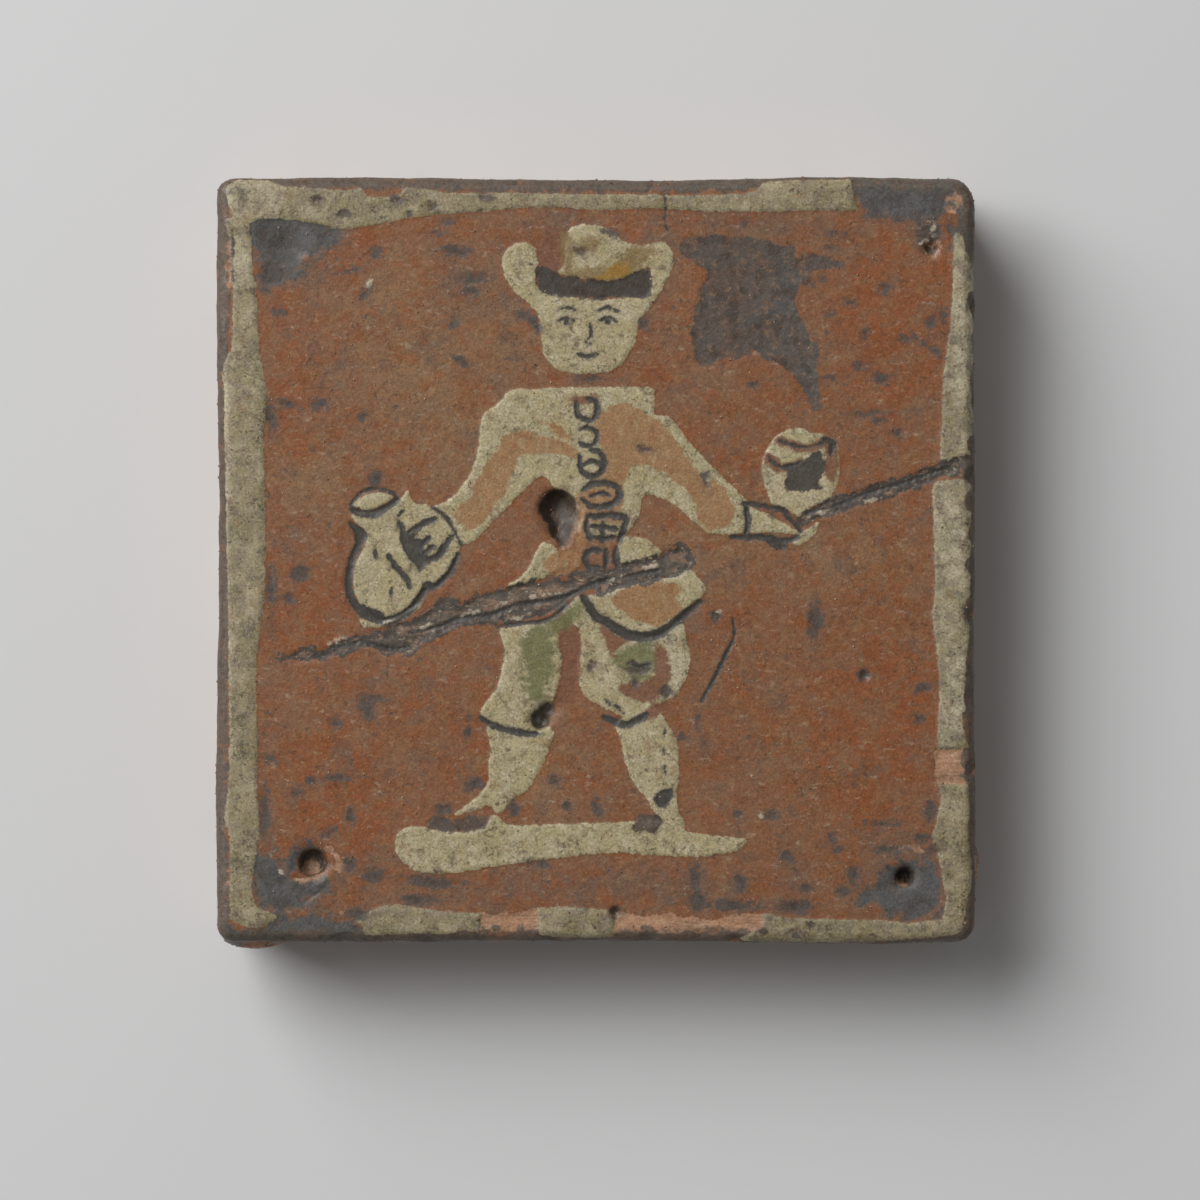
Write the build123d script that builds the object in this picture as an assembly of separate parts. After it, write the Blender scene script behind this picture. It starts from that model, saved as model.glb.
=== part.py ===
"""A hand-made earthenware tile with a raised slip border, lying face up on its back.

The tile is one fired piece. Its cut edges lean in towards the back, its face edge is rounded and
chipped, and its face holds the nail pricks of the cutting board, a burst air pocket and small pits.
Units are millimetres. The origin is the middle of the back, +Z points out of the glazed face, and
+Y points to the side that is the top of the picture.
"""

from build123d import *
import math
import os

# Overall size, measured on the glazed face
FACE_WIDTH = 134.0
FACE_HEIGHT = 135.0
BODY_THICKNESS = 24.6

# Edges
UNDERCUT = 1.6
RIM_RADIUS = 2.0
BACK_EDGE_RADIUS = 0.9

# Slip border: white clay laid on along the four sides. The corner of a narrow strip is rounded less, by a
# share of its width.
SLIP_THICKNESS = 0.4
SLIP_EDGE_BEVEL = 0.2
SLIP_CORNER_RADIUS = 0.8
SLIP_CORNER_SHARE = 0.45
SLIP_WAVE_RADIUS = 16.0
SLIP_ROOTING = 0.6
SLIP_SETBACK = 0.3

# Each corner as one or two turns: the distance in from the square corner along X and along Y, and its radius
CORNER_TOP_LEFT = [(0.0, 0.0, 3.0)]
CORNER_TOP_RIGHT = [(2.4, 0.0, 4.5), (0.0, 3.4, 5.5)]
CORNER_BOTTOM_RIGHT = [(0.0, 0.0, 3.4)]
CORNER_BOTTOM_LEFT = [(0.0, 0.0, 3.0)]

# How far each hand-cut edge wanders outwards, at shares of the half side from its middle, clockwise
WANDER_RADIUS = 300.0
TOP_WANDER = [(-0.62, 0.3), (-0.30, -0.1), (0.20, -0.3), (0.60, 0.3)]
RIGHT_WANDER = [(0.50, -0.1), (0.10, 0.1), (-0.30, -0.2), (-0.70, 0.2)]
BOTTOM_WANDER = [(0.70, 0.5), (0.30, 0.0), (-0.15, -0.2), (-0.60, 0.1)]
LEFT_WANDER = [(-0.60, 0.3), (-0.25, -0.1), (0.15, -0.3), (0.60, 0.2)]

# Width of the slip border along each side, at shares of the half side from its middle, clockwise
TOP_BAND = [(-0.93, 6.6), (-0.80, 8.2), (-0.60, 8.2), (-0.40, 6.6), (-0.15, 5.3), (0.02, 6.2), (0.20, 5.8),
            (0.45, 6.0), (0.68, 6.0)]
RIGHT_UPPER_BAND = [(0.84, 3.9), (0.60, 4.8), (0.40, 6.0), (0.24, 7.0)]
RIGHT_LOWER_BAND = [(0.17, 7.3), (0.02, 7.2), (-0.10, 6.4), (-0.24, 7.6), (-0.45, 6.6), (-0.70, 7.0),
                    (-0.90, 5.4)]
BOTTOM_BAND = [(0.93, 5.0), (0.70, 4.4), (0.45, 5.2), (0.05, 5.8), (-0.10, 6.8), (-0.30, 5.8), (-0.48, 6.9),
               (-0.64, 5.4)]
LEFT_BAND = [(-0.94, 6.4), (-0.75, 7.0), (-0.50, 7.1), (-0.24, 6.7), (-0.05, 8.2), (0.12, 7.6), (0.26, 7.0),
             (0.40, 8.6), (0.54, 7.6), (0.70, 6.4), (0.84, 5.2)]

# Nail pricks: the distance in from the two nearest sides, the mouth radius, foot radius and depth of the hole,
# then the radius and depth of the dish pressed round it
NAIL_BOTTOM_LEFT = (17.0, 14.1, 2.6, 1.7, 2.8, 3.8, 0.5)
NAIL_BOTTOM_RIGHT = (12.5, 11.6, 1.8, 0.9, 3.4, 2.7, 0.5)
NAIL_TOP_LEFT = (12.0, 11.0, 1.8, 1.2, 0.7, 5.0, 0.5)
NAIL_TOP_RIGHT = (8.0, 12.5, 1.4, 0.7, 1.2, 1.9, 0.4)

# Rounded hollows in the face, each as balls: X, Y, mouth radius, depth
BURST_POCKET = [(-6.7, 9.2, 3.5, 2.7), (-5.9, 8.2, 3.9, 1.1), (-6.3, 5.6, 2.4, 1.9), (-5.9, 3.2, 1.2, 0.9)]
KNEE_PIT = [(-9.9, -28.0, 2.1, 1.6), (-8.7, -26.3, 1.9, 1.1)]
SMALL_PITS = [(3.4, -62.0, 1.0, 0.8), (47.4, -20.3, 1.0, 0.5)]

# Chips out of the face edge, measured where its two sides would meet square: share of the half side,
# length along it, reach inwards, depth down
TOP_CHIPS = [(-0.62, 7.0, 1.5, 1.6), (0.33, 5.0, 1.4, 1.5)]
RIGHT_CHIPS = [(0.66, 3.8, 1.7, 1.7), (0.41, 4.6, 1.6, 1.9), (0.21, 5.6, 2.1, 1.8), (-0.15, 5.0, 2.0, 2.2),
               (-0.36, 6.0, 1.9, 2.0), (-0.55, 4.4, 1.7, 1.8)]
BOTTOM_CHIPS = [(-0.66, 7.0, 1.7, 2.2), (-0.44, 5.2, 1.6, 1.8), (-0.10, 6.4, 1.8, 1.9), (0.14, 6.0, 1.8, 2.0),
                (0.37, 4.6, 1.6, 1.8)]
LEFT_CHIPS = [(0.76, 9.6, 1.6, 1.9), (0.30, 5.0, 1.5, 1.7), (-0.34, 6.4, 1.6, 1.8)]

# Clay lips pushed out below the face edge: share of the half side, diameter, reach outwards, depth of
# the middle
BOTTOM_LIP = (-0.905, 11.0, 1.5, 8.5)
RIGHT_LIP = (-0.795, 8.0, 0.8, 7.5)

HALF_WIDTH = FACE_WIDTH / 2
HALF_HEIGHT = FACE_HEIGHT / 2


def rounded_edges(turns):
    """The closed run of straight lines and tangent arcs that turns at each point, given as (x, y, radius)."""
    edges = []
    ends = []
    for number, (x, y, radius) in enumerate(turns):
        here = Vector(x, y)
        back = (Vector(*turns[number - 1][:2]) - here).normalized()
        ahead = (Vector(*turns[(number + 1) % len(turns)][:2]) - here).normalized()
        half_angle = math.radians(back.get_angle(ahead) / 2)
        start = here + back * (radius / math.tan(half_angle))
        end = here + ahead * (radius / math.tan(half_angle))
        inward = (back + ahead).normalized() * (radius / math.sin(half_angle) - radius)
        edges.append(ThreePointArc(start, here + inward, end))
        ends.append((start, end))
    for number, (start, end) in enumerate(ends):
        edges.append(Line(ends[number - 1][1], start))
    return edges


def corner_turns(corner_x, corner_y, turns):
    """The turns of one corner of the tile, set in from its square corner."""
    return [(corner_x * (HALF_WIDTH - in_x), corner_y * (HALF_HEIGHT - in_y), r) for in_x, in_y, r in turns]


def side_turns(side, wander):
    """The soft bends of one hand-cut side."""
    half_along, half_across = half_sides(side)
    return [(*on_side(side, share * half_along, half_across + out), WANDER_RADIUS) for share, out in wander]


def clay_slab():
    """The cut slab, drawn in towards its back, with both edges rounded."""
    turns = corner_turns(-1, 1, CORNER_TOP_LEFT) + side_turns("top", TOP_WANDER)
    turns += corner_turns(1, 1, CORNER_TOP_RIGHT) + side_turns("right", RIGHT_WANDER)
    turns += corner_turns(1, -1, CORNER_BOTTOM_RIGHT) + side_turns("bottom", BOTTOM_WANDER)
    turns += corner_turns(-1, -1, CORNER_BOTTOM_LEFT) + side_turns("left", LEFT_WANDER)
    face = Pos(0, 0, BODY_THICKNESS) * make_face(rounded_edges(turns))
    lean = math.degrees(math.atan(UNDERCUT / BODY_THICKNESS))
    slab = extrude(face, BODY_THICKNESS, dir=(0, 0, -1), taper=lean)
    slab = fillet(slab.faces().sort_by(Axis.Z)[-1].edges(), RIM_RADIUS)
    return fillet(slab.faces().sort_by(Axis.Z)[0].edges(), BACK_EDGE_RADIUS)


def on_side(side, along, out):
    """The point of a side that is along it from its middle and out from the tile's middle."""
    return {
        "top": (along, out),
        "right": (out, along),
        "bottom": (along, -out),
        "left": (-out, along),
    }[side]


def half_sides(side):
    """Half the length of a side, and its distance from the tile's middle."""
    if side in ("top", "bottom"):
        return HALF_WIDTH, HALF_HEIGHT
    return HALF_HEIGHT, HALF_WIDTH


def slip_band(side, widths):
    """A strip of slip along one side, from the rounded rim to its own wavy inner edge."""
    half_along, half_across = half_sides(side)
    outer_setback = RIM_RADIUS + SLIP_SETBACK
    turns = []
    for share, width in (widths[-1], widths[0]):
        radius = min(SLIP_CORNER_RADIUS, SLIP_CORNER_SHARE * (width - outer_setback))
        outer_corner = (*on_side(side, share * half_along, half_across - outer_setback), radius)
        inner_corner = (*on_side(side, share * half_along, half_across - width), radius)
        turns += [outer_corner, inner_corner] if turns else [inner_corner, outer_corner]
    for share, width in widths[1:-1]:
        turns.append((*on_side(side, share * half_along, half_across - width), SLIP_WAVE_RADIUS))
    band = extrude(make_face(rounded_edges(turns)), SLIP_ROOTING + SLIP_THICKNESS, dir=(0, 0, 1))
    band = chamfer(band.faces().sort_by(Axis.Z)[-1].edges(), SLIP_EDGE_BEVEL)
    return Pos(0, 0, BODY_THICKNESS - SLIP_ROOTING) * band


def hollow(x, y, mouth, depth):
    """A ball that cuts a round hollow of that mouth radius and depth into the face."""
    radius = (mouth**2 + depth**2) / (2 * depth)
    return Pos(x, y, BODY_THICKNESS - depth + radius) * Sphere(radius)


def nail_prick(corner_x, corner_y, prick):
    """A tapered blind hole and the shallow dish round its mouth, measured in from a corner."""
    in_x, in_y, mouth, foot, depth, dish_mouth, dish_depth = prick
    x = corner_x * (HALF_WIDTH - in_x)
    y = corner_y * (HALF_HEIGHT - in_y)
    hole = Pos(x, y, BODY_THICKNESS - depth / 2) * Cone(foot, mouth, depth)
    return [hole, hollow(x, y, dish_mouth, dish_depth)]


def edge_chip(side, share, length, reach, depth):
    """A ball that breaks a flake of that length, reach inwards and depth out of the face edge."""
    half_along, half_across = half_sides(side)
    half_length = length / 2
    out = (half_length**2 - reach**2) / (2 * reach)
    up = (half_length**2 - depth**2) / (2 * depth)
    radius = math.hypot(out, up, half_length)
    x, y = on_side(side, share * half_along, half_across + out)
    return Pos(x, y, BODY_THICKNESS + up) * Sphere(radius)


def clay_lip(side, share, diameter, reach, drop):
    """A low round swelling of clay on one cut side, the cap of a ball that sits mostly inside the slab."""
    half_along, half_across = half_sides(side)
    radius = ((diameter / 2)**2 + reach**2) / (2 * reach)
    x, y = on_side(side, share * half_along, half_across + reach - radius)
    block_x, block_y = on_side(side, share * half_along, half_across)
    level = BODY_THICKNESS - drop
    block = Pos(block_x, block_y, level) * Box(diameter, diameter, diameter)
    return Pos(x, y, level) * Sphere(radius) & block


def tile():
    """The whole fired tile as one solid."""
    body = clay_slab()
    body += clay_lip("bottom", *BOTTOM_LIP)
    body += clay_lip("right", *RIGHT_LIP)
    for side, widths in (("top", TOP_BAND), ("right", RIGHT_UPPER_BAND), ("right", RIGHT_LOWER_BAND),
                         ("bottom", BOTTOM_BAND), ("left", LEFT_BAND)):
        body += slip_band(side, widths)
    cuts = []
    for corner_x, corner_y, prick in ((-1, -1, NAIL_BOTTOM_LEFT), (1, -1, NAIL_BOTTOM_RIGHT),
                                      (-1, 1, NAIL_TOP_LEFT), (1, 1, NAIL_TOP_RIGHT)):
        cuts += nail_prick(corner_x, corner_y, prick)
    cuts += [hollow(*ball) for ball in BURST_POCKET + KNEE_PIT + SMALL_PITS]
    for side, chips in (("top", TOP_CHIPS), ("right", RIGHT_CHIPS), ("bottom", BOTTOM_CHIPS),
                        ("left", LEFT_CHIPS)):
        cuts += [edge_chip(side, *chip) for chip in chips]
    for cut in cuts:
        body -= cut
    return body


os.makedirs("parts", exist_ok=True)
export_step(tile(), "parts/tile.step")
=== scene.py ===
"""Slip-decorated red earthenware tile under worn lead glaze: its fine relief and finish.

The tile's face is drawn in millimetres, x to the right and y towards the top of the picture,
with the origin in the middle. Meshes are turned to metres where they are made.
"""
import math

import bpy
import numpy as np
from bpy.props import FloatProperty, FloatVectorProperty, IntProperty, PointerProperty
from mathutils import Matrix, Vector, noise
from mathutils.bvhtree import BVHTree
from mathutils.geometry import delaunay_2d_cdt


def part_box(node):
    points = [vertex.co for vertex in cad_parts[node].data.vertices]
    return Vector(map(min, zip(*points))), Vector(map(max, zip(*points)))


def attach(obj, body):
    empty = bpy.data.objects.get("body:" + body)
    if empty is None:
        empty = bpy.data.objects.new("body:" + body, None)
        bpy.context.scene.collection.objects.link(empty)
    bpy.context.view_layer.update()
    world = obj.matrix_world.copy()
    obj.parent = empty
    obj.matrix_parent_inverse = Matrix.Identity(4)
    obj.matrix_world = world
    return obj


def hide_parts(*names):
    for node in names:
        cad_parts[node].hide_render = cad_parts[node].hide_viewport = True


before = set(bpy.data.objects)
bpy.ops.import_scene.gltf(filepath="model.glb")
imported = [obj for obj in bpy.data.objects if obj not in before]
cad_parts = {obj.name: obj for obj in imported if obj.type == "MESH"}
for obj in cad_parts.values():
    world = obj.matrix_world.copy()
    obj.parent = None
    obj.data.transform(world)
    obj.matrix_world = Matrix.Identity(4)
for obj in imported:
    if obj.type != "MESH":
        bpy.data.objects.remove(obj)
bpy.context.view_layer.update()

bl_info = {
    "name": "Slipware tile",
    "version": (1, 0, 0),
    "blender": (4, 5, 0),
    "location": "3D View > Sidebar > Tile",
    "description": "Finishes a hand-made slip-decorated earthenware tile and lights it",
    "category": "Object",
}

MM = 0.001
NODE = "tile"
BODY = "root"
LOW, HIGH = (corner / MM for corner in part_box(NODE))
SLIP_THICKNESS = 0.4
FACE_Z = HIGH.z - SLIP_THICKNESS

# Mesh of the face: how far from a coat's edge its depth is kept, and where the points lie 2 and 4 times as close

REACH = 3.0
FINE_WITHIN = 1.1
FINEST_WITHIN = 0.42

# Mesh of the edge: a rounded rectangle inside the outline sends rays out from its stations. The rim and the back
# edge are roundings, with a row of points at each angle, in degrees above the level.

WALK_CORNER = 6.0
WALK_INSET = 1.0
RIM_RADIUS = 2.0
BACK_RADIUS = 0.9
RIM_ANGLES = range(90, -1, -10)
BACK_ANGLES = (-15, -45, -90)
SIDE_ROWS = 19
WALL_RAY = 12
ROUND_RAY = 8

# Rows from the face outwards: over these the roughness comes in, the face's relief fades out, and the bake map
# counts them as face

ROUGH_ROWS = 5
FADE_ROWS = 9
MAP_ROWS = 7

# The studio, in metres, and the middle of the picture, in mm

FLOOR_HALF = 3.0
LAMP_PLACE = (-1.15, 1.0, 1.38)
PICTURE_MIDDLE = (0.7, -7.05)


# Slip border

BORDER_TOP = [
    (-65.2, 64), (-64.8, 66.2), (-63, 67.1), (-58, 67), (-55, 66), (-50, 65.7), (-45, 65.2), (-41.5, 65.6),
    (-40.5, 64.3), (-37, 64), (-34.5, 64.5), (-33.5, 65.8), (-30, 65.5), (-25, 64.8), (-14, 64.8), (-5, 64.6),
    (5, 64.5), (15, 64.3), (24, 64.5), (28, 65), (30, 66.7), (38, 67.1), (45, 67.2), (45, 67.2), (45.3, 64.5),
    (46.2, 61.7), (46.2, 61.7), (40, 61.7), (30, 61.5), (20, 61.5), (10, 62), (0, 61.8), (-10, 62.3),
    (-20, 61.5), (-30, 60.8), (-40, 59), (-45, 58.4), (-50, 59.5), (-56, 60.2), (-60, 60), (-63, 58),
]
BORDER_LEFT = [
    (-62, 60), (-60.9, 57), (-60.6, 51), (-60, 48), (-59.8, 42), (-59.5, 39), (-59.3, 36), (-58.6, 33),
    (-58.1, 28), (-58.1, 25), (-58.6, 22), (-58.4, 10), (-58.5, -5), (-59.5, -14), (-60, -20), (-60, -25),
    (-59.7, -33), (-59.8, -40), (-59.3, -47), (-59.7, -50), (-60.3, -54), (-60.8, -57), (-60.3, -60),
    (-59.5, -61.3), (-57.5, -62.2), (-56.4, -63), (-57.5, -64), (-59.5, -65), (-62, -64.5), (-64.2, -63.5),
    (-64.6, -61), (-64.6, -49), (-65.4, -46.5), (-65.3, -43), (-64.8, -38), (-64.8, -20), (-65.1, 0),
    (-65.6, 22), (-65.6, 30), (-66, 33), (-65, 36), (-64.2, 38), (-64.1, 47), (-64.6, 56), (-65.4, 60),
]
BORDER_RIGHT_UPPER = [
    (63.2, 57.2), (63, 52), (62.6, 42), (62, 38), (61.5, 34), (61.2, 30), (60.9, 22), (60.6, 17.2),
    (60.6, 17.2), (64, 17.6), (66.2, 18.6), (66.8, 25), (66, 32), (67, 35), (66.3, 39), (66.9, 41),
    (65.9, 45), (65, 46), (66.3, 46.8), (66.9, 49), (66.6, 52), (65.3, 54.5), (64.5, 57.2),
]
BORDER_RIGHT_LOWER = [
    (59.6, 13.2), (59.5, 8), (59.8, -5), (59.3, -10), (60, -15), (60.5, -20), (60.5, -25), (60.2, -33.5),
    (60.2, -33.5), (65.8, -33.2), (65.8, -33.2), (64.5, -28), (65.2, -26), (65.2, -20), (65.9, -12),
    (66.1, 0), (66.2, 8), (66, 13.6), (63, 14.2),
]
BORDER_RIGHT_FOOT = [
    (60.3, -39.5), (60.3, -39.5), (60.8, -42), (60, -46), (59.4, -49), (60.2, -52), (60.9, -54), (61.2, -57),
    (61.8, -60), (61.2, -63.5), (64.5, -64.5), (65.5, -60), (66.3, -57), (66.2, -53), (65.8, -50),
    (65.9, -44), (65.6, -39.6), (65.6, -39.6),
]
BORDER_BOTTOM_LEFT = [
    (-42.5, -63.4), (-39, -61.5), (-36, -60.8), (-33, -61), (-27, -62), (-21, -62.3), (-20.3, -62.6),
    (-20.8, -65.4), (-24, -65.3), (-26, -66), (-33, -65.9), (-40.5, -66.2), (-41, -64.8),
]
BORDER_BOTTOM_MIDDLE = [
    (-10.4, -61.4), (-10.4, -61.4), (-5, -61.2), (0, -61.5), (3.4, -62), (3.4, -62), (3.2, -66.6),
    (3.2, -66.6), (-4, -66.7), (-10, -66.2), (-10, -66.2),
]
BORDER_BOTTOM_RIGHT = [
    (29.6, -62.4), (32, -62.7), (34, -63.1), (38, -63.3), (43, -63.3), (50, -63.6), (56, -64), (61, -63.4),
    (64.4, -64.6), (63.5, -66), (60, -66.5), (55, -67), (45, -67.5), (32, -67.5), (27, -67.3), (25.2, -67),
    (27, -65.8), (29, -65), (29.6, -64),
]

# Bites out of the border's outer edge: x, y, width, height, turn in degrees
BORDER_BITES = [
    (66.8, 46, 2.6, 3.2, 0), (67, 39.3, 1.8, 2.2, 0), (67, 32.2, 1.8, 2.6, 0), (66.9, 20.4, 2.8, 3.6, 0),
    (66.2, 10.3, 2.4, 3.8, 0), (66.6, 4.6, 2, 2.8, 0), (66.2, -0.8, 2.4, 2.8, 0), (66.3, -8.8, 2.8, 4.2, 0),
    (66.6, -15.2, 2, 2.6, 0), (66.1, -24, 2.6, 4.8, 0), (65.8, -29.4, 2, 2.4, 0), (66.6, -47, 2, 3.4, 0),
    (-66.4, 16, 2.2, 4, 0), (-66, -4, 2, 3.2, 0), (-65.8, -14, 2.2, 3, 0), (-65.6, -32, 2, 4, 0),
    (-20, 65.4, 5, 1.6, 0), (-9, 65.2, 4, 1.2, 0), (20, 65, 5, 1.4, 0), (-50, -66.8, 3, 2, 0),
    (50, -68, 6, 1.6, 0),
]

# Figure's slip

HAT = [
    (-10.4, 52.5), (-10.3, 54.6), (-12, 56), (-14, 55.8), (-16, 54.5), (-16.6, 52.5), (-16, 50),
    (-14.5, 47.5), (-12.5, 45.8), (-10.5, 44), (-9, 42), (0, 41), (6.5, 42), (9, 44), (10.5, 46), (12, 48.5),
    (13.2, 51), (13.7, 53), (13, 55), (11.7, 56.2), (10, 55.9), (8, 55.5), (5, 56.2), (3, 57.8), (0.5, 59),
    (-2, 59.2), (-4, 58.8), (-5, 57.5), (-5.4, 54), (-6, 51.4), (-8, 51.2),
]
HAT_HOLLOW = [
    (-10.5, 52), (-8.5, 51.5), (-6, 50.5), (-3, 49.8), (0, 49.3), (3, 49.3), (5.5, 50), (7.5, 51), (9.3, 51.8),
    (9.8, 50.5), (9.7, 48), (8.5, 46.3), (6, 46.4), (3, 46), (0, 46), (-6, 46.7), (-9, 47.3), (-10.5, 48.5),
]
HEAD = [
    (-10.3, 46), (-10.1, 43), (-9.8, 40), (-9.3, 36.8), (-8, 34.6), (-5.5, 33.2), (-1.5, 32.8), (2.5, 33.4),
    (5, 35.2), (6.6, 38), (7.3, 41), (7.8, 46),
]
JACKET = [
    (-15, 30), (-10, 30.3), (0, 30.5), (9.6, 30.4), (10.3, 29), (10.4, 25.9), (12, 25.4), (13.5, 24.8),
    (16.5, 20.8), (20.5, 16.5), (24.5, 12.5), (27, 10), (26.2, 8), (26.5, 5.3), (25.5, 4.6), (23, 4.5),
    (20, 4.8), (17, 7), (14.5, 9.3), (12, 10.7), (8.6, 11.5), (7.5, 8), (6, 5.3), (4.8, 4.6), (0, 3.6),
    (-3, 4.5), (-3.4, 9), (-7.5, 12.8), (-8.6, 14.5), (-10.5, 14.5), (-13.5, 11.5), (-18, 7), (-21.5, 3.5),
    (-23.8, 2.8), (-23.8, 2.8), (-26, 7), (-29, 9.3), (-29, 9.3), (-25.5, 11), (-22.3, 15), (-21.5, 17),
    (-20.7, 20), (-20.5, 23), (-19.8, 25.8), (-18, 27), (-16.5, 28.5),
]
FLAP_LEFT = [
    (-9.5, 3), (-8, 2.8), (-7, 2), (-6.2, 0.5), (-4.5, -1), (-8.3, -2.6), (-9.5, -3.2), (-12, -4.1),
    (-15, -4.7), (-17.8, -5.6), (-14, -3.5), (-12, -1.5), (-11, 0.5),
]
FLAP_RIGHT = [
    (4.8, 4), (7, 4), (9, 3.6), (10.5, 2.5), (11.7, 1.4), (10.5, 0.3), (8, -0.3), (5, -0.6), (3.6, 0.2),
    (3.8, 2.4),
]
PURSE = [
    (9.5, -3.6), (13, -3), (15, -1.5), (17, -2), (18.5, -3.5), (19.3, -5), (18.8, -6.5), (17.5, -7.5),
    (15, -10), (12.5, -12.2), (10, -13.2), (7.5, -13.1), (5, -12.5), (2.8, -11.4), (0.8, -9.9), (-1.8, -6.8),
    (3, -5.2),
]
BREECH_LEFT = [
    (-17, -12), (-16.5, -14), (-16.2, -17), (-16.8, -20), (-17.5, -22.5), (-19, -24.5), (-20.2, -26.3),
    (-20, -28), (-18, -29), (-15, -29.8), (-10.8, -30.2), (-9.4, -28), (-7.6, -25), (-6.4, -22), (-6, -18),
    (-6.3, -15), (-7, -12.5), (-8.5, -11), (-12, -11.2), (-14.5, -11.8),
]
BREECH_RIGHT = [
    (-3, -6.3), (-5.8, -9), (-4.2, -11), (-2.7, -13.5), (-2.8, -17), (-3, -20), (-2.8, -22.5), (-2, -24),
    (0, -25.3), (4, -27.3), (6, -28), (8, -27.2), (12, -25), (14, -24), (15.2, -22), (16.3, -19.5),
    (16.5, -17), (16, -14), (15.4, -11.5), (14.3, -11), (11.5, -13.4), (8, -14), (5, -13.6), (2.5, -12),
    (0, -10.3), (-1.6, -8),
]
STOCKING_LEFT = [
    (-18.7, -29), (-18.6, -33), (-19, -36), (-19, -39), (-20.2, -41), (-22.5, -43), (-25, -45), (-21.5, -44.2),
    (-19, -43.3), (-17.3, -44.7), (-16, -44), (-14.5, -42), (-12.5, -41), (-10.5, -38), (-9, -35),
    (-8, -32.5), (-8.4, -29.4),
]
STOCKING_RIGHT = [
    (3.8, -28.5), (4.5, -32), (5, -35), (6, -38), (7.5, -40.5), (9, -42), (10, -44), (12, -46), (15.6, -47),
    (14.5, -44), (14.2, -41), (14.6, -38), (14.5, -35), (14.2, -32), (13, -29.5), (11.3, -27), (9.5, -26),
]
GROUND = [
    (-35.5, -50), (-35, -48.3), (-33.5, -47.3), (-31, -47), (-25, -48.1), (-20, -47.2), (-18.5, -45.3),
    (-17.3, -44.9), (-16.5, -46), (-14.5, -46.8), (-5, -46.5), (4, -46.2), (12, -46), (14.5, -46.5),
    (16, -47.8), (18.5, -48.3), (25, -49), (26.6, -49.8), (24, -51.5), (16, -52.3), (3, -51.6), (-2, -52),
    (-10, -53), (-19, -54.2), (-26, -55.2), (-31, -55), (-33.5, -53.8), (-35, -52.3),
]
JUG = [
    (-43, 8), (-42.5, 6.5), (-40.5, 4.5), (-41, 2), (-42.3, -0.5), (-42.8, -3), (-42.7, -5.5), (-41.8, -7.5),
    (-40.5, -9), (-38.5, -10), (-36.5, -10), (-34, -9), (-32, -7.5), (-30.8, -5.5), (-28, -4.3), (-26, -2),
    (-25, 0), (-24, 3), (-26, 6.5), (-29.3, 9.5), (-32.2, 10.2), (-33.2, 12.2), (-35, 10.2), (-38, 8.6),
    (-41, 8.4),
]
JUG_MOUTH = [
    (-43, 9.5), (-41.5, 11), (-39.5, 11.8), (-37.5, 11.8), (-35.8, 11), (-38.5, 9.2), (-41, 8.8),
]
JUG_FOOT = [
    (-41.8, -10.4), (-40.5, -12), (-38, -11.7), (-35, -10.8), (-32, -9.2), (-30.3, -7.3), (-32.5, -8.4),
    (-35.5, -10.1), (-38.5, -10.9),
]
HAND_RIGHT = [
    (26.9, 9.2), (28.5, 8.8), (31, 7.8), (33.5, 6.3), (36.2, 4.7), (33, 4.7), (30, 4.8), (27.2, 5),
]
HAND_SLIVER = [(34.6, 3), (36.5, 5), (39.3, 6.8), (40, 8.6), (38.8, 5), (37.3, 3.5), (36, 2.6)]
BEAKER = [
    (31.5, 21.5), (29.7, 18.6), (29.2, 15.5), (29.8, 13), (30.5, 11), (31, 9.7), (33.8, 8.9), (35.5, 7.5),
    (37, 8.2), (38, 9.5), (40.5, 10.3), (41.5, 11.5), (42.5, 13.5), (43, 16), (42.6, 20), (41.6, 21.8),
    (38.5, 22.4), (36, 23.2), (33.5, 22.9),
]

# Coloured glazes on the figure

SLEEVE_WASH_LEFT = [
    (-25, 8.5), (-23, 10.5), (-21, 13.5), (-19.5, 16.5), (-18, 18.5), (-16.5, 21), (-15, 22.5), (-13, 23),
    (-8, 21.5), (-5.5, 20.5), (-3.5, 19), (-3.3, 17.8), (-5, 18.2), (-8, 19), (-10, 19), (-12.5, 18.5),
    (-14, 17), (-15.5, 12.5), (-17, 10.5), (-20.5, 6.5), (-23, 5.5), (-24.5, 6.5),
]
SLEEVE_STREAK = [(-10.5, 24.6), (-8, 24.3), (-6, 23), (-4.6, 21.4), (-6.2, 21.8), (-8, 23.3)]
SLEEVE_WASH_RIGHT = [
    (-0.5, 25), (2, 26.5), (5, 27.6), (7.5, 27), (9.5, 25.5), (11.5, 24.5), (13, 22.5), (15, 20), (16.5, 17.5),
    (18, 15.5), (19.5, 14), (22, 13.5), (23.3, 12), (24.3, 9), (23.3, 6.2), (21.5, 5.5), (19.5, 5.8),
    (18, 7.5), (16.5, 11.5), (13, 14.5), (10.5, 16), (8, 16.7), (6, 15.8), (5, 13), (4.7, 8), (3.6, 6.6),
    (-2.6, 7.3), (-2.6, 12), (-0.5, 14), (1.2, 18),
]
POCKET_FLESH = [(-3.6, 2), (-3.2, 6), (-3.4, 11), (-2, 10.5), (-1.8, 5), (-2.4, 1.8)]
PURSE_WASH = [
    (2.5, -6.5), (5, -5), (8, -4), (11, -3.5), (13.5, -3.8), (15, -5), (13.9, -6.5), (15.5, -8.3), (15, -9.5),
    (11, -11.5), (7, -11), (5, -9.5), (3.5, -8.3),
]
POCKET_APRON = [(-8.4, 0.6), (-6, 1.4), (-3, 1.6), (-2.4, -0.4), (-4, -2), (-7, -2.7), (-8.7, -1.6)]
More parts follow.
